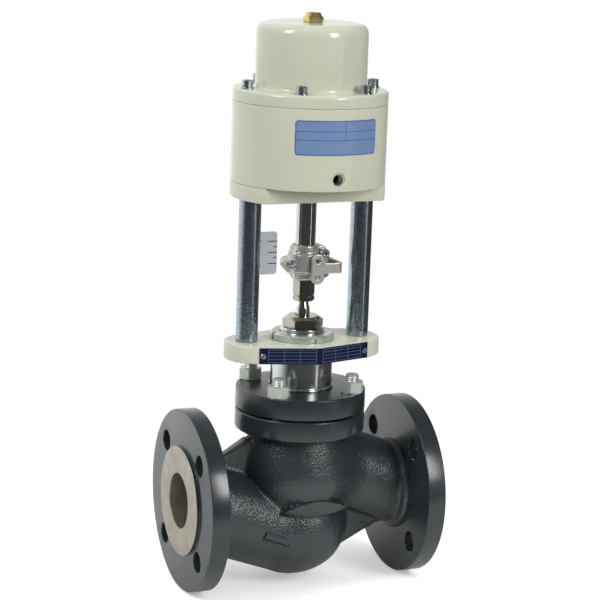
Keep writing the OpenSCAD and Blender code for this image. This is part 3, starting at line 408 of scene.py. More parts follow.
def add(tree, kind, inputs, **settings):
    """Adds a node, with its settings, its values and the sockets that it reads."""
    made = tree.nodes.new(f"ShaderNode{kind}")
    for key, value in settings.items():
        setattr(made, key, value)
    for key, value in inputs.items():
        if isinstance(value, bpy.types.NodeSocket):
            tree.links.new(value, made.inputs[key])
        else:
            made.inputs[key].default_value = value
    return made


def finish(name, colour, metallic=0.0, rough=(0.4, 0.5), second=None, blotch=25.0,
           grain=1.0, depth=0.0, detail=4.0, pattern="plain", coarse=0.0, coarse_depth=0.0,
           ior=1.5):
    """A surface from a metal or a paint: its colour goes to a second one in blotches of the given
    size, its roughness follows them, and a fine and a coarse grain lift it by their depths. All
    sizes are millimetres. The pattern is plain, or turned or drawn about the stem or the pipe."""
    made = bpy.data.materials.new(name)
    made.use_nodes = True
    tree = made.node_tree
    shader = tree.nodes["Principled BSDF"]
    shader.inputs["Base Color"].default_value = linear(colour)
    shader.inputs["Metallic"].default_value = metallic
    if not metallic:
        shader.inputs["IOR"].default_value = ior
    place = add(tree, "TexCoord", {}).outputs["Object"]
    place = add(tree, "Mapping", {"Vector": place, "Location": (-STEM_X * MM, 0,
            0)}).outputs["Vector"]
    lines = place
    if pattern != "plain":
        part = add(tree, "SeparateXYZ", {"Vector": place}).outputs
        across, along = (("Y", "Z"), "X") if pattern == "pipe" else (("X", "Y"), "Z")
        flat = add(tree, "CombineXYZ", {"X": part[across[0]], "Y": part[across[1]]})
        radius = add(tree, "VectorMath", {0: flat.outputs[0]}, operation="LENGTH")
        lines = add(tree, "CombineXYZ",
                    {"X": radius.outputs["Value"], "Y": part[along]}).outputs[0]
        if pattern == "drawn":
            lines = add(tree, "Mapping",
                        {"Vector": place, "Scale": (1, 1, 0.03)}).outputs["Vector"]
    patches = add(tree, "TexNoise", {"Vector": place, "Scale": 1 / (blotch * MM),
            "Detail": 2.0})
    if second:
        spread = add(tree, "MapRange", {"Value": patches.outputs["Fac"], "From Min": 0.25,
                "From Max": 0.75})
        mix = add(tree, "Mix", {"Factor": spread.outputs["Result"], "A": linear(colour),
                "B": linear(second)}, data_type="RGBA")
        tree.links.new(mix.outputs["Result"], shader.inputs["Base Color"])
    dull = add(tree, "MapRange", {"Value": patches.outputs["Fac"], "From Min": 0.3,
            "From Max": 0.7, "To Min": rough[0], "To Max": rough[1]})
    tree.links.new(dull.outputs["Result"], shader.inputs["Roughness"])
    normal = None
    for size, lift, vector in ((coarse, coarse_depth, place), (grain, depth, lines)):
        if not lift:
            continue
        noise = add(tree, "TexNoise", {"Vector": vector, "Scale": 1 / (size * MM),
                "Detail": detail})
        bump = add(tree, "Bump", {"Height": noise.outputs["Fac"], "Distance": lift * MM,
                "Strength": 1.0})
        if normal:
            tree.links.new(normal, bump.inputs["Normal"])
        normal = bump.outputs["Normal"]
    if normal:
        tree.links.new(normal, shader.inputs["Normal"])
    FINISHES[name] = made
    return made


def make_finishes(looks):
    """All finishes, each from what the real surface is and how it was made."""
    # Alkyd paint over a sand casting: satin gloss on a granular skin, small glints on each grain
    finish("cast_paint", looks.cast_colour, rough=(0.27, 0.36), second="#20272a", blotch=30,
           grain=1.5, depth=0.52, coarse=8.0, coarse_depth=0.4, detail=1.0, ior=1.6)
    # The same paint over turned faces: smooth, with faint rings of the tool
    finish("flange_paint", looks.cast_colour, rough=(0.22, 0.30), second="#21272a", blotch=40,
           grain=0.7, depth=0.02, pattern="pipe", coarse=2.5, coarse_depth=0.03, ior=1.52)
    finish("bonnet_paint", looks.bonnet_colour, rough=(0.24, 0.32), second="#1f2427", blotch=30,
           grain=0.7, depth=0.02, pattern="turned", coarse=3.0, coarse_depth=0.03, ior=1.52)
    # Faced cast steel left bare: dull grey with a brown bloom of rust
    finish("bare_face", "#a7a295", metallic=0.85, rough=(0.34, 0.44), second="#968f81", blotch=14,
           grain=0.5, depth=0.03, pattern="pipe", coarse=1.5, coarse_depth=0.04)
    # Polyester powder coat in ivory: satin, a very fine orange peel
    finish("ivory_coat", looks.ivory_colour, rough=(0.14, 0.19), second="#bcbeab", blotch=60,
           grain=1.6, depth=0.02, coarse=9.0, coarse_depth=0.03, ior=1.5)
    # The same coat on castings that weren't turned: their sand skin shows through
    finish("ivory_cast", looks.ivory_colour, rough=(0.26, 0.34), second="#bbbdaa", blotch=40,
           grain=1.5, depth=0.22, coarse=5.0, coarse_depth=0.3, detail=3.0, ior=1.5)
    # Turned steel: bright, with fine rings that spread the light along the stem
    finish("turned_steel", "#c6cac9", metallic=1.0, rough=(0.16, 0.22), second="#bcc1c1",
           blotch=18, grain=0.6, depth=0.002, pattern="turned")
    # Hexagon of nickel plated steel: glossy, warm, a little yellow
    finish("nickel", "#aeab9e", metallic=1.0, rough=(0.10, 0.16), second="#a09d8f", blotch=10,
           grain=0.6, depth=0.002, pattern="turned")
    # Zinc plated drawn bar: blue grey, with sparkling crystals drawn coarser than they are
    finish("drawn_zinc", "#65737e", metallic=1.0, rough=(0.20, 0.26), second="#bcc9d2",
           blotch=1.1, grain=0.6, depth=0.002, pattern="drawn", coarse=1.0, coarse_depth=0.03)
    # Zinc plated fasteners: duller, with small cloudy patches
    finish("zinc", "#b9c1c5", metallic=1.0, rough=(0.24, 0.31), second="#a7b0b4", blotch=4,
           grain=0.6, depth=0.002)
    # Zinc and passivation on turned and forged nuts: duller, a faint green tint
    finish("dull_zinc", "#ccd1ca", metallic=0.75, rough=(0.34, 0.42), second="#bfc6b9", blotch=6,
           grain=0.6, depth=0.003)
    # Investment cast stainless steel, bead blasted: even satin grain
    finish("blasted_steel", "#bfbfba", metallic=0.88, rough=(0.36, 0.44), second="#b4b4af",
           blotch=8, grain=0.5, depth=0.015, coarse=2.5, coarse_depth=0.02)
    # Hard chromed and ground rod: mirror like with a trace of grinding
    finish("chrome_rod", "#bdbab4", metallic=1.0, rough=(0.10, 0.14), blotch=20, grain=0.6,
           depth=0.001, pattern="turned")
    # Turned brass, a little tarnished
    finish("brass", "#e2cb8e", metallic=0.9, rough=(0.20, 0.28), second="#d6bd7a", blotch=4,
           grain=0.6, depth=0.003, pattern="turned")
    # Anodised dark blue sheet: satin, metallic under the dye
    finish("blue_plate", looks.plate_colour, metallic=0.35, rough=(0.26, 0.34), second="#08132e",
           blotch=12, grain=0.4, depth=0.006)
    # Ruled lines etched into the plate: paler, matt
    finish("plate_lines", "#5d6f98", metallic=0.3, rough=(0.38, 0.44), blotch=10)
    # Printed polyester film: satin grey blue, and the stronger blue of its border and rules
    finish("blue_film", looks.label_colour, rough=(0.28, 0.34), second="#6981a6", blotch=30,
           grain=3.0, depth=0.01)
    finish("film_edge", "#2f60b4", rough=(0.28, 0.34), blotch=30)
    # Brushed sheet of the stroke scale
    finish("scale_sheet", "#bcc1c5", metallic=0.45, rough=(0.36, 0.42), second="#b2b7bb",
           blotch=12, grain=0.5, depth=0.008, pattern="drawn")
    # Printed strokes of the scale: matt black ink
    finish("black_ink", "#17181a", rough=(0.45, 0.55), blotch=4)
    # Phosphated and oiled steel of hidden screws and the spring wire
    finish("oiled_steel", "#74777a", metallic=1.0, rough=(0.34, 0.46), second="#5f6265", blotch=6,
           grain=0.5, depth=0.01)
    # Turned aluminium of the piston and the cover's spigot
    finish("aluminium", "#b4b7ba", metallic=1.0, rough=(0.28, 0.38), second="#a6a9ac", blotch=12,
           grain=0.4, depth=0.01, pattern="turned")
    # Bearing bronze of the bushes
    finish("bronze", "#b08a4a", metallic=1.0, rough=(0.3, 0.42), second="#9a7640", blotch=6,
           grain=0.4, depth=0.01)
    # PTFE of seals and packing: white, waxy
    finish("pale_polymer", "#e4e3dc", rough=(0.42, 0.5), second="#d9d8d0", blotch=8, grain=0.6,
           depth=0.01, ior=1.36)
    # Rubber seals and graphite gaskets: matt black
    finish("black_rubber", "#1d1e20", rough=(0.6, 0.72), second="#26272a", blotch=6, grain=0.5,
           depth=0.02, ior=1.52)


SLOT_FINISH = {
    "body_paint": "cast_paint", "bonnet_paint": "bonnet_paint", "ivory_paint": "ivory_coat",
    "stainless": "turned_steel", "turned_steel": "turned_steel", "blasted_steel": "blasted_steel",
    "pillar_steel": "drawn_zinc", "plain_steel": "oiled_steel", "zinc": "zinc",
    "chrome_rod": "chrome_rod", "spring_wire": "oiled_steel", "scale_sheet": "scale_sheet",
    "piston_alloy": "aluminium", "bronze": "bronze", "vent_brass": "brass",
    "blue_plate": "blue_plate", "blue_label": "blue_film", "black_ink": "black_ink",
    "ptfe": "pale_polymer", "graphite": "black_rubber", "black_rubber": "black_rubber",
}


# ---- shapes of the cast pieces ----

def body_field(p):
    """Distance to the globe casting: two sloping ducts, a bowl, a chamber on a cone, two webs, a
    rim at each flange and a lens shaped pad are blended, and the passages are taken away."""
    x, y, z = p[..., 0], p[..., 1], p[..., 2]
    around = np.hypot(x, y)
    inlet = rod_distance(p, (-95, 0, -6), (-12, 0, -36), 39.5, 39.5)
    outlet = rod_distance(p, (95, 0, 0), (30, 0, 25.5), 36, 36)
    bowl = np.linalg.norm(p - [2, 0, -31], axis=-1) - 44
    cone = ((around - 40) * 27 - (z + 12) * 13) / 29.97
    barrel = ((around - 54) * 10 + z - 15) / 10.05
    shoulder = ((around - 51) * 19 + (z - 44) * 7) / 20.2
    chamber = smooth_max(smooth_max(barrel, cone, 6), shoulder, 8)
    chamber = smooth_max(chamber, -12 - z, 3)
    low = smooth_min(inlet, bowl, 9)
    solid = smooth_min(low, smooth_min(chamber, outlet, 14), 1.9)
    left = most(z - 54, ((z - 54) * 33 - (x + 53) * 21) / 39.1, x + 40, -z, -97 - x)
    left = smooth_max(left, np.abs(y) - 6, 3)
    right = most(((-58 - z) * 50 + (x - 36) * 25) / 55.9, 36 - x, x - 97, z)
    right = smooth_max(right, np.abs(y) - 6, 3)
    solid = smooth_min(solid, left, 5)
    solid = smooth_min(solid, right, 5)
    spread = np.hypot(y, z)
    neck = np.where(x < 0, 40.5, 37)
    rim = np.hypot(spread - neck, np.abs(x) - 94) - 5
    solid = smooth_min(solid, rim, 3)
    lens = smooth_max(np.hypot(x - 1.5, z + 55.3) - 58.4, np.hypot(x - 1.5, z - 44.9) - 58.4, 0.5)
    face = (-y * 27 - (z + 12) * 13 - 1080) / 29.97 - 1.7
    lens = smooth_max(lens, most(face, y + 30), 0.9)
    solid = smooth_min(solid, lens, 0.8)
    solid = most(solid, np.abs(x) - 96.5, z - 63)
    hollow = least(
        most(spread - 25.4, 88 - np.abs(x)),
        rod_distance(p, (-89, 0, 0), (-12, 0, -36), 25.5, 25),
        rod_distance(p, (89, 0, 0), (44, 0, 29), 25.5, 21),
        np.linalg.norm(p - [2, 0, -34], axis=-1) - 31,
        most(around - 24.05, -31 - z, z - 8),
        most(around - 32.1, 4 - z, z - 9),
        most(around - 44, ((around - 33) * 16 - (z - 8) * 11) / 19.4, 8 - z,
             ((around - 44) * 10 + (z - 51.5) * 8) / 12.8),
        most(around - 36, 50 - z, z - 70))
    return most(solid, -hollow)


def slanted_frame():
    """Raised frame cast on the bowl: a rounded rectangle is carried in six rows, up its outer
    side, over a narrow front and down its inner side, and turned by 21 degrees."""
    def ring(inset):
        w, h = 13.5 - inset, 4.2 - inset
        return rounded([(-w, -h), (w, -h), (w, h), (-w, h)], 1.4 - inset * 0.5, 4)
    rows = [(0, -34), (0, -40.7), (0.35, -41.2), (1.1, -41.2), (1.5, -40.8), (1.5, -36)]
    flat = np.concatenate([ring(inset) for inset, _ in rows])
    count = len(flat) // len(rows)
    depth = np.repeat([y for _, y in rows], count)
    tilt = math.radians(-21)
    x = flat[:, 0] * math.cos(tilt) - flat[:, 1] * math.sin(tilt) - 33.5
    z = flat[:, 0] * math.sin(tilt) + flat[:, 1] * math.cos(tilt) - 32.3
    return np.stack([x, depth, z], -1), [quads(len(rows), count, True)]


def clamp_field(p):
    """Distance to the whole split clamp: two collars, a barrel, an ear with cut corners for two
    screws and a boss for the third, less its bore and the pockets and holes of its screws."""
    x, y, z = p[..., 0], p[..., 1], p[..., 2] - CLAMP_Z
    around = np.hypot(x, y)
    middle = np.abs(z - CLAMP_H / 2)
    collar = smooth_max(around - 11.5, middle - 15.5, 1.4)
    barrel = smooth_max(around - 15, middle - 8.5, 1.6)
    ears = most(x - 19.5, -12.4 - x, middle - 15.5)
    ears = smooth_max(ears, (x - 19.5 + middle - 15.5 + 5) / 1.414, 1.2)
    ears = smooth_max(ears, (-12.4 - x + middle - 15.5 + 3) / 1.414, 1.2)
    ears = smooth_max(ears, np.abs(y) - 8.4, 1.6)
    boss = smooth_max(np.hypot(x + 16.6, middle) - 4.4, np.abs(y) - 8.4, 1.2)
    bridge = most(np.abs(x + 14) - 3, middle - 4.4)
    boss = least(boss, smooth_max(bridge, np.abs(y) - 8.4, 1.2))
    solid = smooth_min(smooth_min(collar, barrel, 1.6), smooth_min(ears, boss, 1.5), 2.0)
    pocket = np.hypot(x - 14.4, middle - 8.8)
    hollow = least(around - 9.05, most(pocket - 4.8, y + 8.4), pocket - 2.55)
    return smooth_max(solid, -hollow, 0.7)


def bracket_field(p):
    """Distance to the feedback bracket: a 2 mm sheet with an upright front plate, an arm to the
    side, a leg turned back and a foot on the rear ear, rounded where they meet."""
    x, y, z = p[..., 0], p[..., 1], p[..., 2]
    front = np.hypot(x - 4.9, np.maximum(np.abs(z - 210.3) - 7.5, 0)) - 6.3
    arm = most(4.9 - x, x - 29, np.abs(z - 210.9) - 4.8)
    front = smooth_max(smooth_min(front, arm, 3), np.abs(y + 19) - 1, 0.9)
    band = np.abs(z - 210.9) - 4.8
    leg = smooth_max(most(np.abs(x - 28) - 1, -20 - y, y - 10.4), band, 0.9)
    foot = smooth_max(most(np.abs(y - 9.4) - 1, 12.9 - x, x - 29), band, 0.9)
    solid = smooth_min(smooth_min(front, leg, 1.6), foot, 1.6)
    solid = smooth_max(solid, (x - 29 - y - 20 + 2.2) / 1.414, 1.5)
    solid = smooth_max(solid, (x - 29 + y - 10.4 + 2.2) / 1.414, 1.5)
    holes = least(np.hypot(x - 4.9, z - 217.8), np.hypot(x - 4.9, z - 202.8)) - 2.25
    solid = smooth_max(solid, -most(holes, y + 15), 0.5)
    return most(solid, -most(np.hypot(x - 16.6, z - 214.2) - 2.05, 5 - y))


# ---- settings and operators ----

def colour_setting(name, what, start):
    """A colour that a user may change, as an sRGB hex value."""
    return bpy.props.StringProperty(name=name, description=f"{what}, as an sRGB hex value",
            default=start)


def length_setting(name, what, start, low, high):
    """A length that a user may change, with its bounds in millimetres."""
    return bpy.props.FloatProperty(name=name, description=what, default=start * MM, min=low * MM,
            max=high * MM, unit="LENGTH", precision=5)


class ValveLooks(bpy.types.PropertyGroup):
    """Sizes and colours that a user may want to change."""

    cast_colour: colour_setting("Casting colour", "Paint of the body", "#252d31")
    bonnet_colour: colour_setting("Bonnet colour", "Paint of the bonnet", "#22292c")
    ivory_colour: colour_setting("Actuator colour", "Coating of actuator and yoke", "#c0c2af")
    plate_colour: colour_setting("Name plate colour", "Bare plate on the yoke", "#08153c")
    label_colour: colour_setting("Label colour", "Bare film on the cylinder", "#6d84a9")
    cast_step: length_setting("Casting mesh", "Spacing of the casting's points", 1.75, 0.5, 5)
    edge: length_setting("Coated edge", "Rounding of the actuator's edges", 1.2, 0.2, 3)
    flange_edge: length_setting("Flange edge", "Rounding of the end flanges' rims", 0.9, 0.2, 3)
    stud_pitch: length_setting("Stud pitch", "Pitch of the studs' thread", 1.75, 1, 2)
    key_light: bpy.props.FloatProperty(
        name="Key light", description="Power of the large lamp at the upper left", default=15.0,
        min=0, unit="POWER")


def looks():
    """The valve's settings in this scene."""
    return bpy.context.scene.valve_looks


class VALVE_OT_body(bpy.types.Operator):
    """Builds the casting, its two end flanges and the joint flange"""
    bl_idname = "valve.body"
    bl_label = "Valve body"

    def execute(self, context):
        step = looks().cast_step / MM
        piece("body_casting", skin(body_field, (-101, -60, -82), (101, 60, 68), step), "cast_paint",
              "body_paint", ["valve_body"], sharp=50)
        rim = looks().flange_edge / MM
        for side, name, hole in ((-1, "inlet_flange", 9.5), (1, "outlet_flange", 9.505)):
            profile = rounded(
                [(BORE_R, 0), (RAISED_R, 0), (RAISED_R, 3), (FLANGE_R, 3), (FLANGE_R, 20), (43, 20),
                 (33, 21.5), (27, 26), (BORE_R, 26)], [0.8, 0.6, 0.5, rim, rim, 0, 0, 0, 0])
            points, faces = turned(profile, 128)
            bolt = turned([(0, -2), (hole + 0.6, -2), (hole + 0.6, 3), (hole, 3.6), (hole, 19.4),
                           (hole + 0.6, 20), (hole + 0.6, 24), (0, 24)], 48, False)
            bolts = ring_of(bolt, 4, BOLT_PLACE_R, 45)
            made = piece(name, (along_x(points, side), faces), "flange_paint", "body_paint",
                         cutters=[(along_x(bolts[0], side), bolts[1])], extra=["bare_face"])
            bare_faces(made, side)
        piece("slanted_frame", slanted_frame(), "cast_paint", "body_paint")
        profile = rounded([(36, 60.2), (52, 60.2), (JOINT_R, 61.5), (JOINT_R, JOINT_Z),
                           (36, JOINT_Z)], [0, 0, 2.0, 1.5, 0])
        piece("joint_flange", turned(profile, 128), "flange_paint", "body_paint")
        return {"FINISHED"}


def bare_faces(made, side):
    """Gives the raised face and the bore their bare finish, by where each face lies."""
    count = len(made.data.polygons)
    centre = np.zeros(count * 3)
    made.data.polygons.foreach_get("center", centre)
    x, y, z = (centre.reshape(-1, 3) / MM - [STEM_X, 0, 0]).T
    depth = STEM_X - side * x
    spread = np.hypot(y, z)
    bare = (depth < 0.4) & (spread < RAISED_R - 0.1) | (spread < BORE_R + 0.6)
    made.data.polygons.foreach_set("material_index", bare.astype(np.int32))


class VALVE_OT_bonnet(bpy.types.Operator):
    """Builds the bonnet, the neck, the ring nut and the gland nut"""
    bl_idname = "valve.bonnet"
    bl_label = "Bonnet and gland"

    def execute(self, context):
        profile = rounded(
            [(7, 72), (35.8, 72), (35.8, BONNET_Z), (JOINT_R, BONNET_Z), (JOINT_R, BONNET_TOP),
             (24.2, BONNET_TOP), (24.2, 89.7), (7, 89.7)], [0, 0.5, 0, 1.7, 1.3, 0, 0, 0])
        piece("bonnet_flange", turned(profile, 128), "bonnet_paint", "bonnet_paint", ["bonnet"])
        profile = rounded(
            [(6.6, 89.7), (22, 89.7), (22, BONNET_TOP), (29.2, BONNET_TOP), (29.2, 101.5),
             (28, 102.5), (28, YOKE_Z), (20, YOKE_Z), (20, RING_TOP - 1), (19.2, RING_TOP),
             (19.2, NECK_TOP), (15, NECK_TOP), (15, 108), (6.6, 108)],
            [0, 0, 0, 0.5, 0.5, 0.4, 0.8, 0, 0, 0.3, 0.7, 0.3, 0, 0])
        grooves = [turned([(19.1, z - 0.5), (19.9, z), (19.1, z + 0.5), (18.6, z)], 96)
                   for z in (RING_TOP + 1, RING_TOP + 2.4)]
        piece("neck_turned", joined(turned(profile, 96), *grooves), "turned_steel", "turned_steel",
              ["bonnet_neck"])
        angle = np.arange(240) * 1.5
        slot = np.where(np.abs((angle + 45) % 90 - 45) < 5.2, 3.0, 0)
        bottom, top = YOKE_TOP, RING_TOP
        rows = [(20.05, bottom), (28.5 - slot - 0.8, bottom), (28.5 - slot, bottom + 0.8),
                (28.5 - slot, top - 1), (28.5 - slot - 1, top), (20.8, top), (20.05, top - 0.7)]
        piece("ring_nut_slotted", turned(rows, 240), "dull_zinc", "turned_steel",
              ["ring_nut"], sharp=25)
        outline = hexagon(32, 96, HEX_TURN)
        fall = np.maximum(outline - 15.4, 0)
        rows = [(14.9, 142), (14.9, NECK_TOP), (15.6, NECK_TOP), (outline, NECK_TOP + fall * 0.4),
                (outline, GLAND_TOP - 1.6 - fall * NUT_SLOPE), (15.2, GLAND_TOP - 1.2),
                (13.6, GLAND_TOP), (7.4, GLAND_TOP), (6.6, GLAND_TOP - 0.8), (6.6, 142)]
        piece("gland_nut_hex", turned(rows, 96), "nickel", "blasted_steel", ["gland_nut"], sharp=28)
        return {"FINISHED"}


class VALVE_OT_fasteners(bpy.types.Operator):
    """Builds the studs, nuts, washers and screws"""
    bl_idname = "valve.fasteners"
    bl_label = "Studs, nuts and screws"

    def execute(self, context):
        top = BONNET_TOP + 10.8
        stud = threaded(6, looks().stud_pitch / MM, 65.5, top + 6)
        piece("studs_threaded", ring_of(stud, 4, STUD_PLACE_R, 45), "dull_zinc", "zinc",
              ["bonnet_studs"])
        hexes = ring_of(nut(18.6, BONNET_TOP, top, 6.05), 4, STUD_PLACE_R, 45)
        piece("stud_nuts", hexes, "dull_zinc", "zinc", ["bonnet_nuts"], sharp=25)
        head = moved(screw(5, 6, 3, 24, 5, 3, knurl=0.06), (0, 0, HOUSING_TOP + 1.4))
        piece("housing_cap_screws", ring_of(head, 6, CAP_SCREW_PLACE_R, 0), "zinc", "zinc",
              ["housing_screws"], sharp=28)
        low, high = HOUSING_TOP, HOUSING_TOP + 1.4
        washer = turned(rounded([(3.15, low), (5.8, low), (5.8, high), (3.15, high)],
                                [0.1, 0.25, 0.35, 0.2]), 48)
        piece("housing_washers_turned", ring_of(washer, 6, CAP_SCREW_PLACE_R, 0), "zinc", "zinc",
              ["housing_washers"])
        socket = screw(4.25, 5, 2.5, 14.3, 4, 2.6, knurl=0.1)
        heads = [moved(socket, (14.4, -8.4, CLAMP_Z + 15.5 + rise), FACING["front"])
                 for rise in (-8.8, 8.8)]
        piece("clamp_cap_screws", joined(*heads), "zinc", "zinc", ["coupling_screws"],
              body=TRAIN_BODY, sharp=28)
        third = moved(screw(3.6, 2.6, 2, 16.3, 4, 1.4), (-17.3, -10.4, 214.8), FACING["front"])
        piece("pointer_cap_screw", third, "zinc", "zinc", ["pointer_screw"], body=TRAIN_BODY,
              sharp=28)
        rear = moved(screw(3.6, 2.4, 2, 9.4, 4, 1.3), (16.6, 10.4, 214.2), FACING["rear"])
        piece("bracket_cap_screw", rear, "zinc", "zinc", ["bracket_screw"], body=TRAIN_BODY,
              sharp=28)
        under = [moved(screw(8, 7, 5, 19.5, 8, 4), (side * PILLAR_X, 0, YOKE_Z + 8), FACING["down"])
                 for side in (-1, 1)]
        piece("pillar_cap_screws", joined(*under), "oiled_steel", "plain_steel",
              ["pillar_screws"], sharp=28)
        return {"FINISHED"}


class VALVE_OT_yoke(bpy.types.Operator):
    """Builds the yoke plate, its bare name plate and the pillars"""
    bl_idname = "valve.yoke"
    bl_label = "Yoke and pillars"

    def execute(self, context):
        end_x, end_r, front = 44.5, 29.0, 42.0
        far = math.hypot(end_x, front)
        turn = math.degrees(math.atan2(front, end_x) - math.asin(end_r / far))
        outline = np.concatenate([
            arc((end_x, 0), end_r, turn - 90, 90 - turn, 25),
            arc((0, front - 6), 6, 90 - turn, 90 + turn, 7),
            arc((-end_x, 0), end_r, 90 + turn, 270 - turn, 25),
            arc((0, 6 - front), 6, 270 - turn, 270 + turn, 7)])
        hole = turned([(0, -9), (8.15, -9), (8.15, 8), (5.05, 8), (5.05, 30), (0, 30)], 48, False)
        holes = [moved(hole, (side * PILLAR_X, 0, YOKE_Z)) for side in (-1, 1)]
        holes.append(turned([(0, YOKE_Z - 9), (20.15, YOKE_Z - 9), (20.15, YOKE_TOP + 9),
                             (0, YOKE_TOP + 9)], 96, False))
        piece("yoke_plate_coated", plate(outline, YOKE_Z, YOKE_TOP, 1.4, 4), "ivory_cast",
              "ivory_paint", ["yoke_plate"], cutters=holes)
        half = math.sqrt(far ** 2 - end_r ** 2)
        self.name_plate(turn, half, front)
        for side, node_name in ((-1, "pillar_left"), (1, "pillar_right")):
            profile = rounded([(0, YOKE_TOP), (PILLAR_R - 0.8, YOKE_TOP),
                               (PILLAR_R, YOKE_TOP + 0.8), (PILLAR_R, COVER_Z - 0.8),
                               (PILLAR_R - 0.8, COVER_Z), (7, COVER_Z), (7, COVER_Z + 9),
                               (0, COVER_Z + 9)], [0, 0.3, 0.3, 0.3, 0.3, 0, 0.5, 0])
            shape = moved(turned(profile, 72, False), (side * PILLAR_X, 0, 0))
            piece(f"{node_name}_turned", shape, "drawn_zinc", "pillar_steel", [node_name])
        return {"FINISHED"}

    @staticmethod
    def name_plate(turn, half, front):
        """A thin plate in two straight halves that meet at a bend in the middle, with a pale
        frame and blank fields on it, and a screw near each end."""
        screws, shapes, lines = [], [], []
        for side in (-1, 1):
            a = math.radians(side * turn)
            c, s = math.cos(a), math.sin(a)
            lay = np.array([[c, -s, 0], [s, c, 0], [0, 0, 1]])
            low, high = (0, half) if side > 0 else (-half, 0)
            bend = PLATE_T * math.tan(a)
            ends = np.array([[low, 0], [low, -PLATE_T], [high, -PLATE_T], [high, 0]])
            ends[1 if side > 0 else 2, 0] = -bend
            points = np.concatenate([np.c_[ends, np.full(4, z)] for z in (0.5, 15.0)])
            box = [[0, 1, 2, 3], [7, 6, 5, 4]]
            box += [[k, k + 4, (k + 1) % 4 + 4, (k + 1) % 4] for k in range(4)]
            shapes.append(moved((points, [box]), (0, -front, YOKE_Z), lay))
            rows = [(v, 0.35, 3, half - 8) for v in (2.0, 5.1, 8.2, 11.3, 13.6)]
            bars = [((u1 + u2) / 2, v, u2 - u1, t) for v, t, u1, u2 in rows]
            bars += [(u, 7.8, 0.35, 11.6) for u in np.linspace(3, half - 8, 4)]
            for u, v, w, h in bars:
                corners = np.array([[-w, -h], [w, -h], [w, h], [-w, h]]) / 2 + [u * side, v]
                bar = plate(corners, PLATE_T, PLATE_T + 0.08, 0.02, 1)
                lines.append(moved((upright(bar[0]), bar[1]), (0, -front, YOKE_Z), lay))
            head = moved(screw(2.6, 1.4, 1.25, 6.3, 1.6, 0.8, 32),
                         (side * (half - 3.6), -PLATE_T, 7.75), FACING["front"])
            screws.append(moved(head, (0, -front, YOKE_Z), lay))
        piece("name_plate_bare", joined(*shapes), "blue_plate", "blue_plate", ["name_plate"])
        piece("name_plate_frame", joined(*lines), "plate_lines", "blue_plate")
        piece("name_plate_pins", joined(*screws), "zinc", "zinc", ["name_plate_screws"])


class VALVE_OT_stem(bpy.types.Operator):
    """Builds the valve stem, lock nut, adapter, clamp coupling, pointer, bracket and rod"""
    bl_idname = "valve.stem"
    bl_label = "Stem, coupling and rod"

    def execute(self, context):
        profile = rounded(
            [(0, -1), (4, -1), (5, 0), (5, 28.02), (STEM_R, 28.02), (STEM_R, TAPER_Z),
             (4, LOCK_Z), (4, CLAMP_Z - 2), (3, CLAMP_Z - 1), (0, CLAMP_Z - 1)],
            [0, 0, 0, 0, 0, 0.8, 0.3, 0, 0, 0])
        piece("stem_turned", turned(profile, 64, False), "chrome_rod", "stainless", ["valve_stem"],
              body=TRAIN_BODY)
        piece("lock_nut_hex", nut(17, LOCK_Z, ADAPTER_Z, 4.05, HEX_TURN), "nickel", "blasted_steel",
              ["lock_nut"], body=TRAIN_BODY, sharp=25)
        outline = hexagon(17, 96, HEX_TURN)
        fall = (outline - 8.3) * NUT_SLOPE
        rows = [(4.05, ADAPTER_Z), (8.3, ADAPTER_Z), (outline, ADAPTER_Z + fall),
                (outline, CLAMP_Z - 0.3 - fall), (8.3, CLAMP_Z - 0.3), (7, CLAMP_Z - 0.2),
                (7, CLAMP_Z + 4.5), (8.6, CLAMP_Z + 4.5), (ROD_R, CLAMP_Z + 4.9),
                (ROD_R, CLAMP_Z + 9.1), (8.6, CLAMP_Z + 9.4), (0, CLAMP_Z + 9.4), (0, CLAMP_Z),
                (4.05, CLAMP_Z)]
        piece("adapter_hex", turned(rows, 96), "nickel", "blasted_steel", ["hex_adapter"],
              body=TRAIN_BODY, sharp=25)
        low, high = (-22, -18, CLAMP_Z - 2), (22, 18, CLAMP_Z + CLAMP_H + 2)
        for part, side, step in (("front", 1, 0.55), ("rear", -1, 0.7)):
            half = skin(lambda p: most(clamp_field(p), side * p[..., 1] + 0.5), low, high, step)
            piece(f"clamp_{part}", half, "blasted_steel", "blasted_steel", [f"coupling_{part}"],
                  body=TRAIN_BODY, sharp=50)
        piece("bracket_sheet", skin(bracket_field, (-4, -22, 192), (31, 13, 228), 0.5),
              "blasted_steel", "blasted_steel", ["feedback_bracket"], body=TRAIN_BODY, sharp=50)
        outline = rounded([(-28, 214.8), (-19.5, 205.8), (-14.5, 210.8), (-14.5, 218.8),
                           (-19.5, 223.8)], [0.5, 1.5, 1.5, 1.5, 1.5])
        points, faces = plate(outline, 8.4, 10.4, 0.4)
        piece("pointer_plate", (upright(points), faces), "blasted_steel", "blasted_steel",
              ["pointer"], body=TRAIN_BODY)
        foot = CLAMP_Z + 9.5
        profile = rounded([(0, foot), (8, foot), (ROD_R, foot + 1), (ROD_R, foot + 5),
                           (7, foot + 5), (7, foot + 9.5), (ROD_R, foot + 9.5), (ROD_R, 306.6),
                           (7, 306.6), (7, 336.6), (6, 337.6), (0, 337.6)], 0)
        piece("rod_ground", turned(profile, 72, False), "chrome_rod", "chrome_rod",
              ["actuator_rod"], body=TRAIN_BODY)
        return {"FINISHED"}


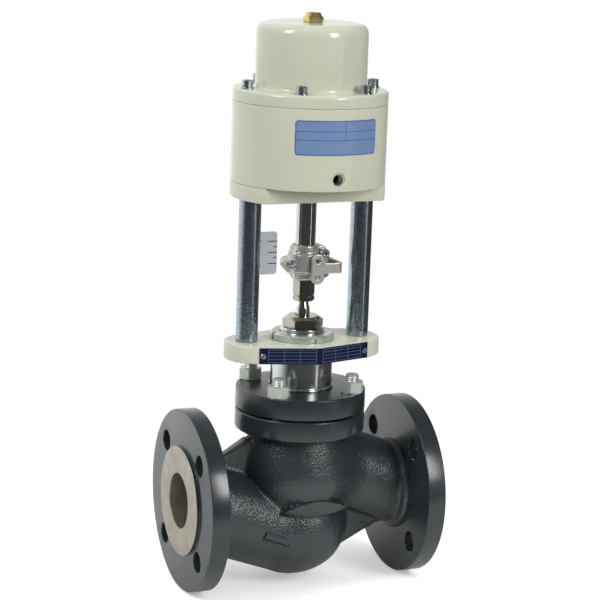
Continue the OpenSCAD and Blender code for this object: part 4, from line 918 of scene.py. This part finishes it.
class VALVE_OT_actuator(bpy.types.Operator):
    """Builds the lower cover, cylinder, spring housing, vent plug, bare label and spring"""
    bl_idname = "valve.actuator"
    bl_label = "Actuator"

    def execute(self, context):
        edge = looks().edge / MM
        flat = 40.0
        corner = math.degrees(math.asin(flat / CASING_R))
        outline = np.concatenate([arc((0, 0), CASING_R, middle - corner, middle + corner, 33)
                                  for middle in (0, 180)])
        bore = turned([(0, 260), (9.15, 260), (9.15, 310), (0, 310)], 72, False)
        foot = CYLINDER_Z - 1
        spigot = turned(rounded([(9.15, foot), (54.85, foot), (54.85, 292.1), (9.15, 292.1)],
                                [0, 0, 0.4, 0.4]))
        recess = turned([(0, 260), (5.15, 260), (5.15, COVER_Z + 6), (3.15, COVER_Z + 6),
                         (3.15, 300), (0, 300)], 36, False)
        places = [CAP_SCREW_PLACE_R * np.array([math.cos(a), math.sin(a), 0])
                  for a in np.radians((22, -22, 158, 202))]
        cuts = [bore] + [moved(recess, place) for place in places]
        piece("cover_coated", plate(outline, COVER_Z, CYLINDER_Z, 0.9, 4), "ivory_cast",
              "ivory_paint", ["lower_cover"], cutters=cuts)
        piece("cover_spigot", spigot, "aluminium", "ivory_paint")
        profile = rounded([(55, CYLINDER_Z + 0.15), (CASING_R, CYLINDER_Z + 0.15),
                           (CASING_R, HOUSING_Z), (55, HOUSING_Z)], [0, edge * 0.7, edge * 0.4, 0])
        port = turned([(0, 50), (5.85, 50), (5.85, 68.2), (6.5, 69), (6.5, 75), (0, 75)], 48, False)
        threads = threaded(5.75, 1.34, 54, 67.9, 0.3)
        port = moved(port, (0, 0, PORT_Z), FACING["front"])
        piece("cylinder_coated", turned(profile, 160), "ivory_coat", "ivory_paint",
              ["actuator_cylinder"], cutters=[port], sharp=40)
        outer = threads[0][THREAD_SIDES:-THREAD_SIDES]
        wall = outer.copy()
        wall[:, :2] *= (5.95 / np.hypot(outer[:, 0], outer[:, 1]))[:, None]
        rows = len(outer) // THREAD_SIDES
        wall = wall[::-1].reshape(rows, THREAD_SIDES, 3)[:, ::-1].reshape(-1, 3)
        shell = np.concatenate([outer, wall]), [quads(2 * rows, THREAD_SIDES, True)]
        piece("port_thread", moved(shell, (0, 0, PORT_Z), FACING["front"]), "dull_zinc",
              "ivory_paint")
        profile = rounded(
            [(44, 355), (54.85, 355), (54.85, HOUSING_Z + 0.2), (CASING_R, HOUSING_Z + 0.2),
             (CASING_R, HOUSING_TOP), (49.5, HOUSING_TOP), (49.5, DOME_TOP), (6.05, DOME_TOP),
             (6.05, 422.5), (44, 422.5)], [0, 0.4, 0, 0.5, edge * 2.6, 3.0, 10.0, 0.3, 0, 6.0], 7)
        piece("housing_coated", turned(profile, 160), "ivory_coat", "ivory_paint",
              ["spring_housing"], sharp=40)
        outline = hexagon(16, 96, HEX_TURN)
        fall = outline - 7.6
        rows = [(1.5, 420), (5.6, 420), (6, 420.5), (6, DOME_TOP), (7.6, DOME_TOP),
                (outline, DOME_TOP + fall * 0.5), (outline, 433.4 - fall * 0.8), (7.5, 434.0),
                (6.9, 435.6), (6.1, 436.4), (5.2, 436.7), (2.1, 436.7), (1.5, 436.2)]
        piece("vent_hex", turned(rows), "brass", "vent_brass", ["vent_plug"], sharp=28)
        self.label()
        self.spring()
        return {"FINISHED"}

    @staticmethod
    def label():
        """A thin film bent round the cylinder: a rounded rectangle, given as distance round the
        cylinder and height, is laid on two radii, and a narrower one lies on it, with three
        ruled lines that part its empty fields."""
        for name, finish_name, inset, low, high, nodes in (
                ("label_edge", "film_edge", 0, 0.1, 0.3, ["casing_label"]),
                ("label_bare", "blue_film", 0.9, 0.25, 0.35, [])):
            w, h = LABEL_W - 2 * inset, LABEL_H - 2 * inset
            r = 2.5 - inset * 0.6
            u = np.linspace(-w / 2, w / 2, 81)
            drop = np.maximum(np.abs(u) - w / 2 + r, 0)
            tall = h / 2 - r + np.sqrt(np.maximum(r * r - drop * drop, 0))
            v = np.linspace(-1, 1, 9)
            rows = []
            for radius in (CASING_R + low, CASING_R + high):
                a = u / CASING_R - math.pi / 2
                flat = np.stack([radius * np.cos(a), radius * np.sin(a)], -1)
                z = LABEL_Z + v[:, None] * tall[None]
                sheet = np.concatenate([np.broadcast_to(flat[None], (9, 81, 2)), z[..., None]], -1)
                rows.append(sheet if radius < CASING_R + high else sheet[::-1])
            grid = np.concatenate(rows).reshape(-1, 3)
            faces = [quads(18, 81, True, False)]
            ends = [[[k * 81 + e for k in range(18)]] for e in (0, 80)]
            piece(name, (grid, faces + ends), finish_name, "blue_label", nodes, sharp=60)
        rules = []
        for left, right, low, high in ((-38.6, 38.6, 339.8, 340.4), (-38.6, 38.6, 332.2, 332.8),
                                       (4.7, 5.3, 332.5, 348.6)):
            a = np.linspace(left, right, 49) / CASING_R - math.pi / 2
            ring = [(CASING_R + lift, z)
                    for lift, z in ((0.3, low), (0.3, high), (0.4, high), (0.4, low))]
            grid = np.concatenate([np.stack([r * np.cos(a), r * np.sin(a), np.full(49, z)], -1)
                                   for r, z in ring])
            ends = [[[k * 49 + e for k in range(4)]] for e in (0, 48)]
            rules.append((grid, [quads(4, 49, True, False)] + ends))
        piece("label_rules", joined(*rules), "film_edge", "blue_label", sharp=60)

    @staticmethod
    def spring():
        """Wound wire: a ring of points of the wire's radius is carried along a screw line, with
        its ends closed."""
        turns, per, sides = 7, 40, 12
        t = np.linspace(0, turns * 2 * math.pi, turns * per + 1)
        z = SPRING_LOW + (SPRING_HIGH - SPRING_LOW) * t / t[-1]
        b = np.arange(sides) * 2 * math.pi / sides
        r = SPRING_R + WIRE_R * np.cos(b)[None]
        points = np.stack([r * np.cos(t)[:, None], r * np.sin(t)[:, None],
                           z[:, None] + WIRE_R * np.sin(b)[None]], -1).reshape(-1, 3)
        n = len(t) * sides
        caps = [[list(range(sides))[::-1]], [list(range(n - sides, n))]]
        wire = piece("spring_wound", (points, [quads(len(t), sides)] + caps), "oiled_steel",
                     "spring_wire", ["main_spring"], sharp=60)
        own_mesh(wire)


class VALVE_OT_solids(bpy.types.Operator):
    """Gives each solid that stays in view its finish"""
    bl_idname = "valve.solids"
    bl_label = "Finish the other solids"

    def execute(self, context):
        for row in frame["record"]["subparts"]:
            solid = frame["nodes"][row["node"]]
            made = FINISHES[SLOT_FINISH[row["material_slot"]]]
            for holder in solid.material_slots:
                holder.material = made
            if not solid.material_slots:
                solid.data.materials.append(made)
        return {"FINISHED"}


class VALVE_OT_stage(bpy.types.Operator):
    """Builds the floor, the lamps, the world and the camera"""
    bl_idname = "valve.stage"
    bl_label = "Stage"

    def execute(self, context):
        scene = context.scene
        mesh = bpy.data.meshes.new("floor")
        turn = np.arange(96) * math.pi / 48
        edge = np.stack([FLOOR_R * MM * np.cos(turn) + STEM_X * MM, FLOOR_R * MM * np.sin(turn),
                         np.full(96, FLOOR_Z * MM - 0.0002)], -1)
        mesh.from_pydata(edge.tolist(), [], [list(range(96))])
        floor = bpy.data.objects.new("floor", mesh)
        scene.collection.objects.link(floor)
        paper = bpy.data.materials.new("paper")
        paper.use_nodes = True
        tree = paper.node_tree
        shader = tree.nodes["Principled BSDF"]
        shader.inputs["Base Color"].default_value = linear("#f4f4f2")
        shader.inputs["Roughness"].default_value = 0.9
        shader.inputs["Emission Color"].default_value = (1, 1, 1, 1)
        path = add(tree, "LightPath", {})
        glow = add(tree, "Math", {0: path.outputs["Is Camera Ray"], 1: 0.34},
                   operation="MULTIPLY")
        tree.links.new(glow.outputs[0], shader.inputs["Emission Strength"])
        place = add(tree, "TexCoord", {}).outputs["Object"]
        place = add(tree, "Mapping", {"Vector": place, "Location": (-STEM_X * MM, 0, 0)})
        away = add(tree, "VectorMath", {0: place.outputs["Vector"]}, operation="LENGTH")
        far = add(tree, "MapRange",
                  {"Value": away.outputs["Value"], "From Min": 0.16, "From Max": 0.5},
                  interpolation_type="SMOOTHSTEP")
        share = add(tree, "Math",
                    {0: far.outputs["Result"], 1: path.outputs["Is Camera Ray"]},
                    operation="MULTIPLY")
        white = add(tree, "Emission", {"Color": (1, 1, 1, 1), "Strength": 1.0})
        mix = add(tree, "MixShader",
                  {0: share.outputs[0], 1: shader.outputs[0], 2: white.outputs[0]})
        tree.links.new(mix.outputs[0], tree.nodes["Material Output"].inputs["Surface"])
        mesh.materials.append(paper)
        world = bpy.data.worlds.new("studio")
        scene.world = world
        world.use_nodes = True
        tree = world.node_tree
        back = tree.nodes["Background"]
        self.sky(tree, back)
        self.lamps(scene)
        self.camera(scene)
        scene.view_settings.view_transform = "Standard"
        return {"FINISHED"}

    @staticmethod
    def sky(tree, back):
        """White to the camera. Reflections see the white wall behind the object and at its left,
        and a dark room in front of it, and the object is lit by a grey that is paler above."""
        path = add(tree, "LightPath", {})
        way = add(tree, "TexCoord", {}).outputs["Generated"]
        part = add(tree, "SeparateXYZ", {"Vector": way}).outputs
        leftward = add(tree, "Math", {0: part["X"], 1: -0.5, 2: part["Y"]},
                       operation="MULTIPLY_ADD").outputs[0]
        wall = add(tree, "MapRange",
                   {"Value": leftward, "From Min": 0.1, "From Max": 1.1, "To Min": 0.07,
                    "To Max": 1.35}, interpolation_type="SMOOTHSTEP").outputs["Result"]
        even = add(tree, "MapRange",
                   {"Value": part["Z"], "From Min": -0.3, "From Max": 0.9, "To Min": 0.12,
                    "To Max": 0.92}, interpolation_type="SMOOTHSTEP").outputs["Result"]
        mirrored = add(tree, "Math",
                       {0: path.outputs["Is Glossy Ray"], 1: path.outputs["Is Transmission Ray"]},
                       operation="MAXIMUM").outputs[0]
        level = add(tree, "Mix", {"Factor": mirrored, "A": even, "B": wall})
        level = add(tree, "Mix", {"Factor": path.outputs["Is Camera Ray"],
                "A": level.outputs["Result"], "B": 1.0})
        tree.links.new(level.outputs["Result"], back.inputs["Strength"])
        back.inputs["Color"].default_value = (1, 1, 1, 1)

    @staticmethod
    def lamps(scene):
        """Two soft boxes above the camera, at its left and its right, and a narrow upright one at
        the right that draws a line on the round bars."""
        middle = Vector((STEM_X * MM, 0, 0.17))
        for name, place, size, power in (
                ("key", (-1.40, -0.35, 1.10), (0.5, 0.8), looks().key_light),
                ("fill", (0.62, -1.42, 0.72), (0.4, 0.8), looks().key_light * 0.97),
                ("strip", (0.95, -1.20, 0.05), (0.10, 1.1), looks().key_light * 0.05)):
            lamp = bpy.data.lights.new(name, "AREA")
            lamp.shape = "RECTANGLE"
            lamp.size, lamp.size_y, lamp.energy = *size, power
            holder = bpy.data.objects.new(name, lamp)
            holder.location = middle + Vector(place)
            holder.rotation_mode = "QUATERNION"
            holder.rotation_quaternion = (-Vector(place)).to_track_quat("-Z", "Y")
            scene.collection.objects.link(holder)

    @staticmethod
    def camera(scene):
        """The camera looks from 22.7 degrees left of the front and 11.9 degrees above, rolled by
        2 degrees, from 1.88 m away."""
        azimuth, height, roll, away = (math.radians(-22.704), math.radians(11.866),
                math.radians(1.971), 1.8822)
        back = Vector((math.sin(azimuth) * math.cos(height), -math.cos(azimuth) * math.cos(height),
                       math.sin(height)))
        right = Vector((math.cos(azimuth), math.sin(azimuth), 0))
        up = right.cross(back) * -1
        across = right * math.cos(roll) + up * math.sin(roll)
        upward = up * math.cos(roll) - right * math.sin(roll)
        lens = bpy.data.cameras.new("camera")
        lens.lens = 125.37
        lens.sensor_width = 36
        lens.clip_start, lens.clip_end = 0.05, 200
        camera = bpy.data.objects.new("camera", lens)
        target = Vector((STEM_X - 3.301, 0, 178.87)) * MM
        turn = Matrix((across, upward, back)).transposed()
        camera.matrix_world = Matrix.Translation(target + back * away) @ turn.to_4x4()
        scene.collection.objects.link(camera)
        scene.camera = camera


class VALVE_PT_panel(bpy.types.Panel):
    """The valve's settings and its building steps"""
    bl_idname = "VALVE_PT_panel"
    bl_label = "Pneumatic valve"
    bl_space_type = "VIEW_3D"
    bl_region_type = "UI"
    bl_category = "Valve"

    def draw(self, context):
        for name in ValveLooks.__annotations__:
            self.layout.prop(context.scene.valve_looks, name)
        for step in STEPS:
            self.layout.operator(step.bl_idname)


STEPS = (VALVE_OT_body, VALVE_OT_bonnet, VALVE_OT_fasteners, VALVE_OT_yoke, VALVE_OT_stem,
         VALVE_OT_actuator, VALVE_OT_solids, VALVE_OT_stage)
CLASSES = (ValveLooks, *STEPS, VALVE_PT_panel)


def register():
    """Registers the classes and the settings."""
    for made in CLASSES:
        bpy.utils.register_class(made)
    bpy.types.Scene.valve_looks = bpy.props.PointerProperty(type=ValveLooks)


def unregister():
    """Takes the settings and the classes away again."""
    del bpy.types.Scene.valve_looks
    for made in reversed(CLASSES):
        bpy.utils.unregister_class(made)


def main():
    """Registers the add-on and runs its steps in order."""
    register()
    make_finishes(looks())
    bpy.ops.valve.body()
    bpy.ops.valve.bonnet()
    bpy.ops.valve.fasteners()
    bpy.ops.valve.yoke()
    bpy.ops.valve.stem()
    bpy.ops.valve.actuator()
    bpy.ops.valve.solids()
    bpy.ops.valve.stage()


if __name__ == "__main__":
    main()
